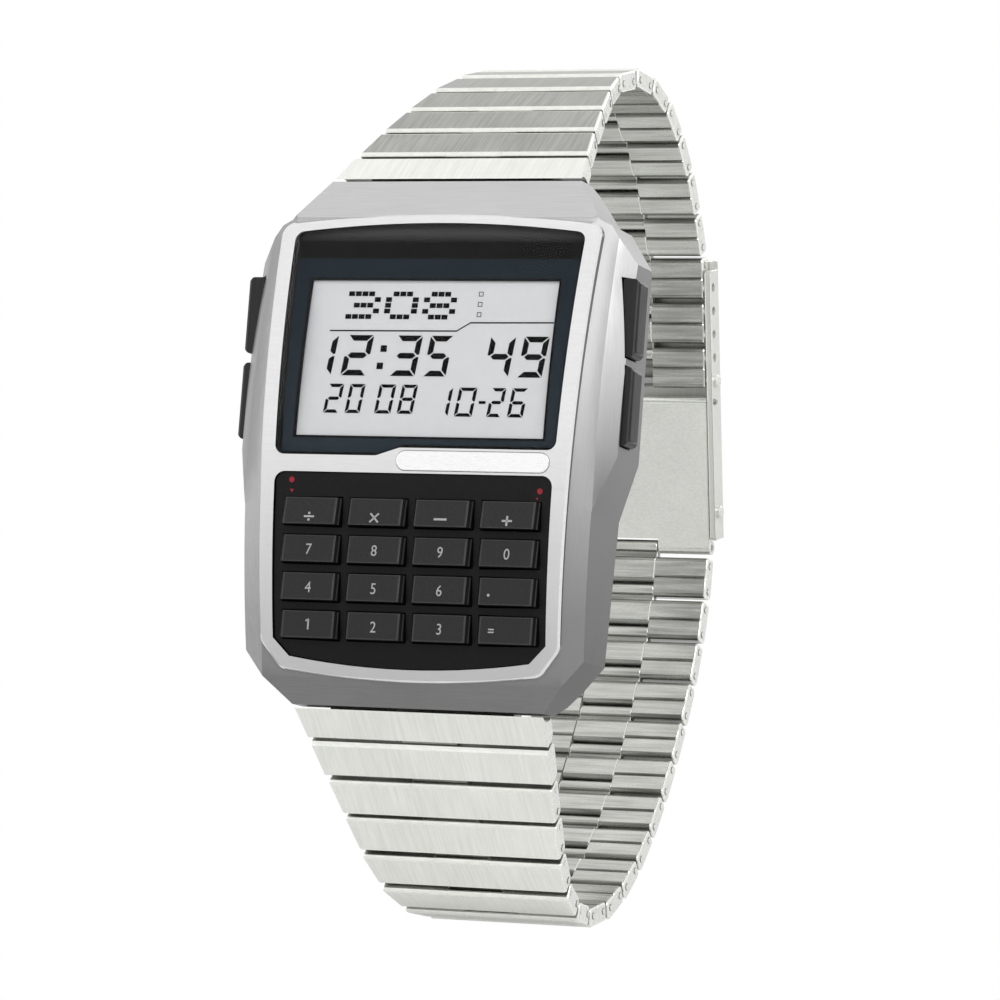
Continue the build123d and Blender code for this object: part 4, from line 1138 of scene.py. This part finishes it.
def trim_tree():
    """Tree that sets one small shape on each place and gives it a finish."""
    tree, given, result, sockets = new_tree("placed_trim", [("Finish", "NodeSocketMaterial")])
    inputs = {"Geometry": set_out(tree, given), "Material": given["Finish"]}
    tree.links.new(node(tree, "GeometryNodeSetMaterial", inputs).outputs[0], result)
    return tree, sockets


def place_mesh(name, places):
    """Points with a turn each and whatever else a tree reads."""
    mesh = bpy.data.meshes.new(name)
    mesh.from_pydata([place["at"] for place in places], [], [])
    turns = mesh.attributes.new("turn", "FLOAT_VECTOR", "POINT")
    turns.data.foreach_set("vector", [part for place in places for part in place["turn"]])
    for label in ("near_half", "far_half"):
        if label in places[0]:
            values = mesh.attributes.new(label, "FLOAT", "POINT")
            values.data.foreach_set("value", [place[label] for place in places])
    return mesh


def set_pieces(name, places, made_tree, values):
    """Plain mesh that a tree makes at some places."""
    tree, sockets = made_tree
    carrier = added(name, place_mesh(name + "_places", places))
    modifier = carrier.modifiers.new(name, "NODES")
    modifier.node_group = tree
    for label, value in values.items():
        modifier[sockets[label]] = value
    grown = plain_mesh(carrier)
    bpy.data.objects.remove(carrier)
    return grown


folded_links = link_tree()
placed_trim = trim_tree()

# Run of the bracelet, with the turns of its links as the photograph shows them
upper_turns = (46, 49, 52, 55, 63, 73, 90, 108, 123, 133, 142, 147)
lower_turns = (45, 44, 45, 46, 55, 71, 88, 104, 120, 131, 139, 145, 150, 154, 158, 163, 170, 178)
upper_groups = (1, 2, 1, 1, 1, 1, 1, 2, 2)
lower_groups = (2, 2, 1, 1, 1, 1, 1, 1, 2, 2, 2, 2)
upper_taper_links = 5
lower_taper_links = 7
clasp_half_width = 8.2
case_half_length = 24.1
band_start_y = -3.72
band_start_gap = 0.12
captured_links = 3


def chain_pins(turns, side):
    """Places of the pins of a run of links, from the case to the clasp."""
    turn = radians(turns[0])
    y = band_start_y - link_near * sin(turn) + link_high * cos(turn)
    z = case_half_length + band_start_gap - link_near * cos(turn) - link_high * sin(turn)
    pins = [(y, side * z)]
    for degrees_turned in turns:
        y += link_pitch * sin(radians(degrees_turned))
        z += link_pitch * cos(radians(degrees_turned))
        pins.append((y, side * z))
    return pins


def half_width_at(steps, taper_links):
    """Half width of the bracelet after a number of links."""
    return drawn_half_width + (clasp_half_width - drawn_half_width) * min(steps / taper_links, 1)


def band_axes(turn, side):
    """Directions along the band and away from the wrist, at a link's turn."""
    rise, reach = sin(radians(turn)), cos(radians(turn))
    return Vector((0, rise, side * reach)), Vector((0, -reach, side * rise))


def link_place(pin, turn, side, near_half, far_half):
    """Place of one link, as the tree reads it, in metres."""
    along, outward = band_axes(turn, side)
    across = along.cross(outward)
    return {
        "at": (0, pin[0] * MM, pin[1] * MM),
        "turn": tuple(Matrix((across, -outward, along)).transposed().to_euler()),
        "near_half": near_half * MM, "far_half": far_half * MM,
    }


upper_pins = chain_pins(upper_turns, 1)
lower_pins = chain_pins(lower_turns, -1)
clasp_y, clasp_z = upper_pins[-1]
clasp_run = (lower_pins[-1][0] - clasp_y, lower_pins[-1][1] - clasp_z)
clasp_length = hypot(*clasp_run)
clasp_turn = degrees(atan2(*clasp_run))


def on_clasp(u):
    """Place along the clasp's middle line, in millimetres."""
    turn = radians(clasp_turn)
    return clasp_y + u * sin(turn), clasp_z + u * cos(turn)


def band_values(shape, finishes):
    """Inputs of the link tree for a drawn link."""
    return {
        "Shape": shape, "Near edge": link_near, "Far edge": link_far,
        "Drawn half width": drawn_half_width * MM,
        "Pocket half width": (pocket_half_width + pocket_clear) * MM,
        **dict(zip(ZONE_NAMES, finishes)),
    }


# Parts of a face's normal and places of it that tell the finishes of a first link apart
side_tilt, side_reach = 0.9, 9.5
plate_facing, plate_height = 0.95, 1.0
edge_facing, edge_height = 0.3, 0.8
inside_facing = -0.9


def end_zone(face, frames):
    """Finish of a face on a first link, from its place in the nearest link's side view."""
    link_middle = (link_near + link_far) / 2
    spot = face.calc_center_median() / MM
    nearest = None
    for (pin_y, pin_z), turn, side in frames:
        along, outward = band_axes(turn, side)
        off = spot - Vector((0, pin_y, pin_z))
        away = abs(off.dot(along) - link_middle)
        if nearest is None or away < nearest:
            nearest, facing, height = away, face.normal.dot(outward), off.dot(outward)
    if abs(face.normal.x) > side_tilt:
        return SIDE if abs(spot.x) > side_reach else ROUND
    if facing > plate_facing and height > plate_height:
        return PLATE
    if facing > edge_facing and height > edge_height:
        return EDGE
    return INSIDE if facing < inside_facing else ROUND


def dress_end_link(node_name, name, body, frames):
    """First link of a run, which keeps its own shape."""
    work = zoned_copy(node_name, lambda face: end_zone(face, frames))
    finished(name, work, body, lower_finishes, (node_name,))


def dress_run(word, side, pins, turns, groups, taper_links, values):
    """Links of one half of the bracelet, in the groups that turn together."""
    first = 0
    for number, count in enumerate(groups, 1):
        node_name = word + "_links_" + str(number)
        body = body_of_node[node_name]
        steps = range(first, first + count)
        first += count
        if number == 1:
            frames = [(pins[step], turns[step], side) for step in steps]
            dress_end_link(node_name, word + "_end_link", body, frames)
            continue
        places = []
        for step in steps:
            near = half_width_at(step, taper_links)
            far = half_width_at(step + (link_far - link_near) / link_pitch, taper_links)
            places.append(link_place(pins[step], turns[step], side, near, far))
        mesh = set_pieces(node_name + "_folded", places, folded_links, values)
        finished(node_name + "_folded", mesh, body, [], (node_name,), link_crease)


def dress_band():
    """Every link of the bracelet: folded plates with rounded lobes, seams and pin ends."""
    whole_link = link_shape("whole_link", True)
    last_link = link_shape("last_link", False)
    upper_values = band_values(whole_link, upper_finishes)
    lower_values = band_values(whole_link, lower_finishes)
    dress_run("upper", 1, upper_pins, upper_turns, upper_groups, upper_taper_links, upper_values)
    dress_run("lower", -1, lower_pins, lower_turns, lower_groups, lower_taper_links, lower_values)
    places = []
    for step in range(captured_links):
        pin = on_clasp(step * link_pitch)
        places.append(link_place(pin, clasp_turn, 1, clasp_half_width, clasp_half_width))
    held = set_pieces("held_links", places[:-1], folded_links, upper_values)
    finished("held_links", held, "clasp_cover", [], ("clasp_end_links",), link_crease)
    last = set_pieces("held_last_link", places[-1:], folded_links, band_values(last_link, upper_finishes))
    finished("held_last_link", last, "clasp_cover", [], (), link_crease)


def turned_shape(name, rings):
    """Round shape about X from rings of a place and a radius, as an object that a tree repeats."""
    work = bmesh.new()
    made = []
    for x, radius in rings:
        made.append([work.verts.new((x * MM, y * MM, z * MM)) for y, z in circle(0, 0, radius)])
    walled(work, made)
    bmesh.ops.recalc_face_normals(work, faces=work.faces)
    return bpy.data.objects.new(name, mesh_from(name, work))


# Case back, its screws and the knobs on the clasp's pins
back_edge = -0.5
screw_seat = -0.3
screw_head = 0.8
screw_shank = 0.4
slot_half = 0.125
shank_span = (-1.9, 0.02)
head_span = (0.0, 0.1)
half_span = (0.08, 0.25)
half_draw_in = 0.05
screw_places = ((-14.05, -19.35), (14.05, -19.35), (-14.05, 18.65), (14.05, 18.65))
first_slot_turn = 23
next_slot_turn = 61
knob_rings = ((-0.1, 0.62), (0.3, 0.62), (0.46, 0.5), (0.52, 0.24))
knob_side = 9.0
bar_knob_back = 0.7
hinge_knob_back = 3.6


def add_prism(work, outline, span, draw_in=0.0):
    """Block of the screw between two heights, drawn in at its top where asked."""
    low_y, high_y = span
    rings = []
    for y, inset in ((low_y, 0.0), (high_y - draw_in, 0.0), (high_y, draw_in)):
        scale = 1 - inset / screw_head
        rings.append([work.verts.new((x * scale * MM, y * MM, z * scale * MM)) for x, z in outline])
    walled(work, rings)


def slotted_screw():
    """Screw about its own Y axis: shank, head and two raised halves beside the slot."""
    work = bmesh.new()
    add_prism(work, circle(0, 0, screw_shank), shank_span)
    add_prism(work, circle(0, 0, screw_head, 28), head_span)
    start = degrees(atan2(slot_half, screw_head))
    for turn in (0, 180):
        half = arc(0, 0, screw_head, turn + start, turn + 180 - start, 14)
        add_prism(work, half, half_span, half_draw_in)
    bmesh.ops.recalc_face_normals(work, faces=work.faces)
    return bpy.data.objects.new("slotted_screw", mesh_from("slotted_screw", work))


def dress_back():
    """Case back and its four slotted screws."""
    back_finishes = [back_brushed, bezel_rim]
    soft_copy("case_back", 0.12, 1.2, back_finishes, lambda spot: spot.y > back_edge)
    places = []
    for number, (x, z) in enumerate(screw_places):
        turn = radians(first_slot_turn + next_slot_turn * number)
        places.append({"at": (x * MM, screw_seat * MM, z * MM), "turn": (0, turn, 0)})
    values = {"Shape": slotted_screw(), "Finish": screw_steel}
    mesh = set_pieces("back_screws", places, placed_trim, values)
    finished("back_screws", mesh, "case", [], ("case_back_screws",), small_crease)


def dress_clasp():
    """Clasp cover, its blade and the small knobs on the ends of its two pins."""
    soft_copy("clasp_cover", 0.1, 1.5, [cover_satin, plate_edge])
    soft_copy("clasp_blade", 0.08, 1.5, [blade_satin, plate_edge])
    knob = turned_shape("pin_knob", knob_rings)
    places = []
    for u in (2 * link_pitch + link_far - bar_knob_back, clasp_length - hinge_knob_back):
        y, z = on_clasp(u)
        for side, turn in ((-1, pi), (1, 0)):
            places.append({"at": (side * knob_side * MM, y * MM, z * MM), "turn": (0, 0, turn)})
    mesh = set_pieces("pin_knobs", places, placed_trim, {"Shape": knob, "Finish": link_side})
    finished("pin_knobs", mesh, "clasp_cover", [], (), small_crease)


def paint_kept_nodes():
    """Finishes of the CAD nodes whose own shape stays."""
    kept = {
        "display_mask": display_print, "lcd_panel": lcd_film, "keypad_membrane": contact_rubber,
        "module_frame": frame_plastic, "circuit_board": board_laminate, "battery_cell": cell_steel,
        "battery_clip": clip_steel, "back_gasket": gasket_rubber, "spring_bars": bar_steel,
        "clasp_pins": bar_steel,
    }
    for name, finish in kept.items():
        mesh = frame["nodes"][name].data
        mesh.materials.clear()
        mesh.materials.append(finish)


# Floor, world and lamps
floor_gap = 0.3
floor_radius = 3.0
glow_reach = (90.0, 420.0)
glow_share = (0.55, 1.0)


def floor_finish():
    """Pale floor that keeps the watch's shadow and is clear when seen from below."""
    made, tree, shader, place, grain = speckled_finish("pale_floor", 0.05)
    fill(tree, shader, {"Base Color": tones(tree, grain["Tone"], grey(240), grey(244)), "Roughness": 0.9})
    glow = node(tree, "ShaderNodeEmission", {"Color": (1, 1, 1, 1), "Strength": 1.0})
    away = node(tree, "ShaderNodeVectorMath", {0: place}, operation="LENGTH").outputs["Value"]
    share = calc(tree, "MULTIPLY", seen_rays(tree), spread(tree, away, *glow_reach, *glow_share))
    pale = blended(tree, share, shader, glow)
    under = node(tree, "ShaderNodeNewGeometry").outputs["Backfacing"]
    partly_clear(tree, under, pale)
    return made


def add_floor():
    """Round floor just under the lowest link."""
    work = bmesh.new()
    bmesh.ops.create_circle(work, cap_ends=True, segments=96, radius=floor_radius)
    level = cad_bounds[0][2] - floor_gap * MM
    for vert in work.verts:
        vert.co.z = level
    mesh = mesh_from("pale_floor", work)
    if mesh.polygons[0].normal.z < 0:
        mesh.flip_normals()
    mesh.materials.append(floor_finish())
    added("pale_floor", mesh)


def add_world():
    """White surround as the camera, metal and glass see it, and a soft even light on the watch."""
    world = bpy.data.worlds.new("studio")
    world.use_nodes = True
    tree = world.node_tree
    tree.nodes.clear()
    soft = node(tree, "ShaderNodeBackground", {"Color": (1, 1, 1, 1), "Strength": 0.45})
    white = node(tree, "ShaderNodeBackground", {"Color": (1, 1, 1, 1), "Strength": 1.0})
    shown = blended(tree, seen_rays(tree), soft, white)
    output = node(tree, "ShaderNodeOutputWorld")
    tree.links.new(shown.outputs[0], output.inputs["Surface"])
    scene.world = world


def add_lamp(name, place, width, power):
    """Square soft lamp that looks at the watch."""
    data = bpy.data.lights.new(name, "AREA")
    data.shape = "SQUARE"
    data.size = width
    data.energy = power
    lamp = added(name, data)
    aim = Vector((0, 0.01, 0)) - Vector(place)
    lamp.matrix_world = Matrix.Translation(place) @ aim.to_track_quat("-Z", "Y").to_matrix().to_4x4()


add_camera()
add_world()
add_floor()
add_lamp("key_lamp", (0.25, -0.62, 0.38), 0.5, 3.2)
add_lamp("fill_lamp", (-0.5, -0.32, 0.1), 0.35, 0.5)
add_lamp("rear_lamp", (0.2, 0.6, 0.5), 0.5, 1.2)
scene.view_settings.view_transform = "Standard"

dress_case()
dress_display()
dress_keys()
dress_panel()
dress_pushers()
dress_band()
dress_back()
dress_clasp()
paint_kept_nodes()
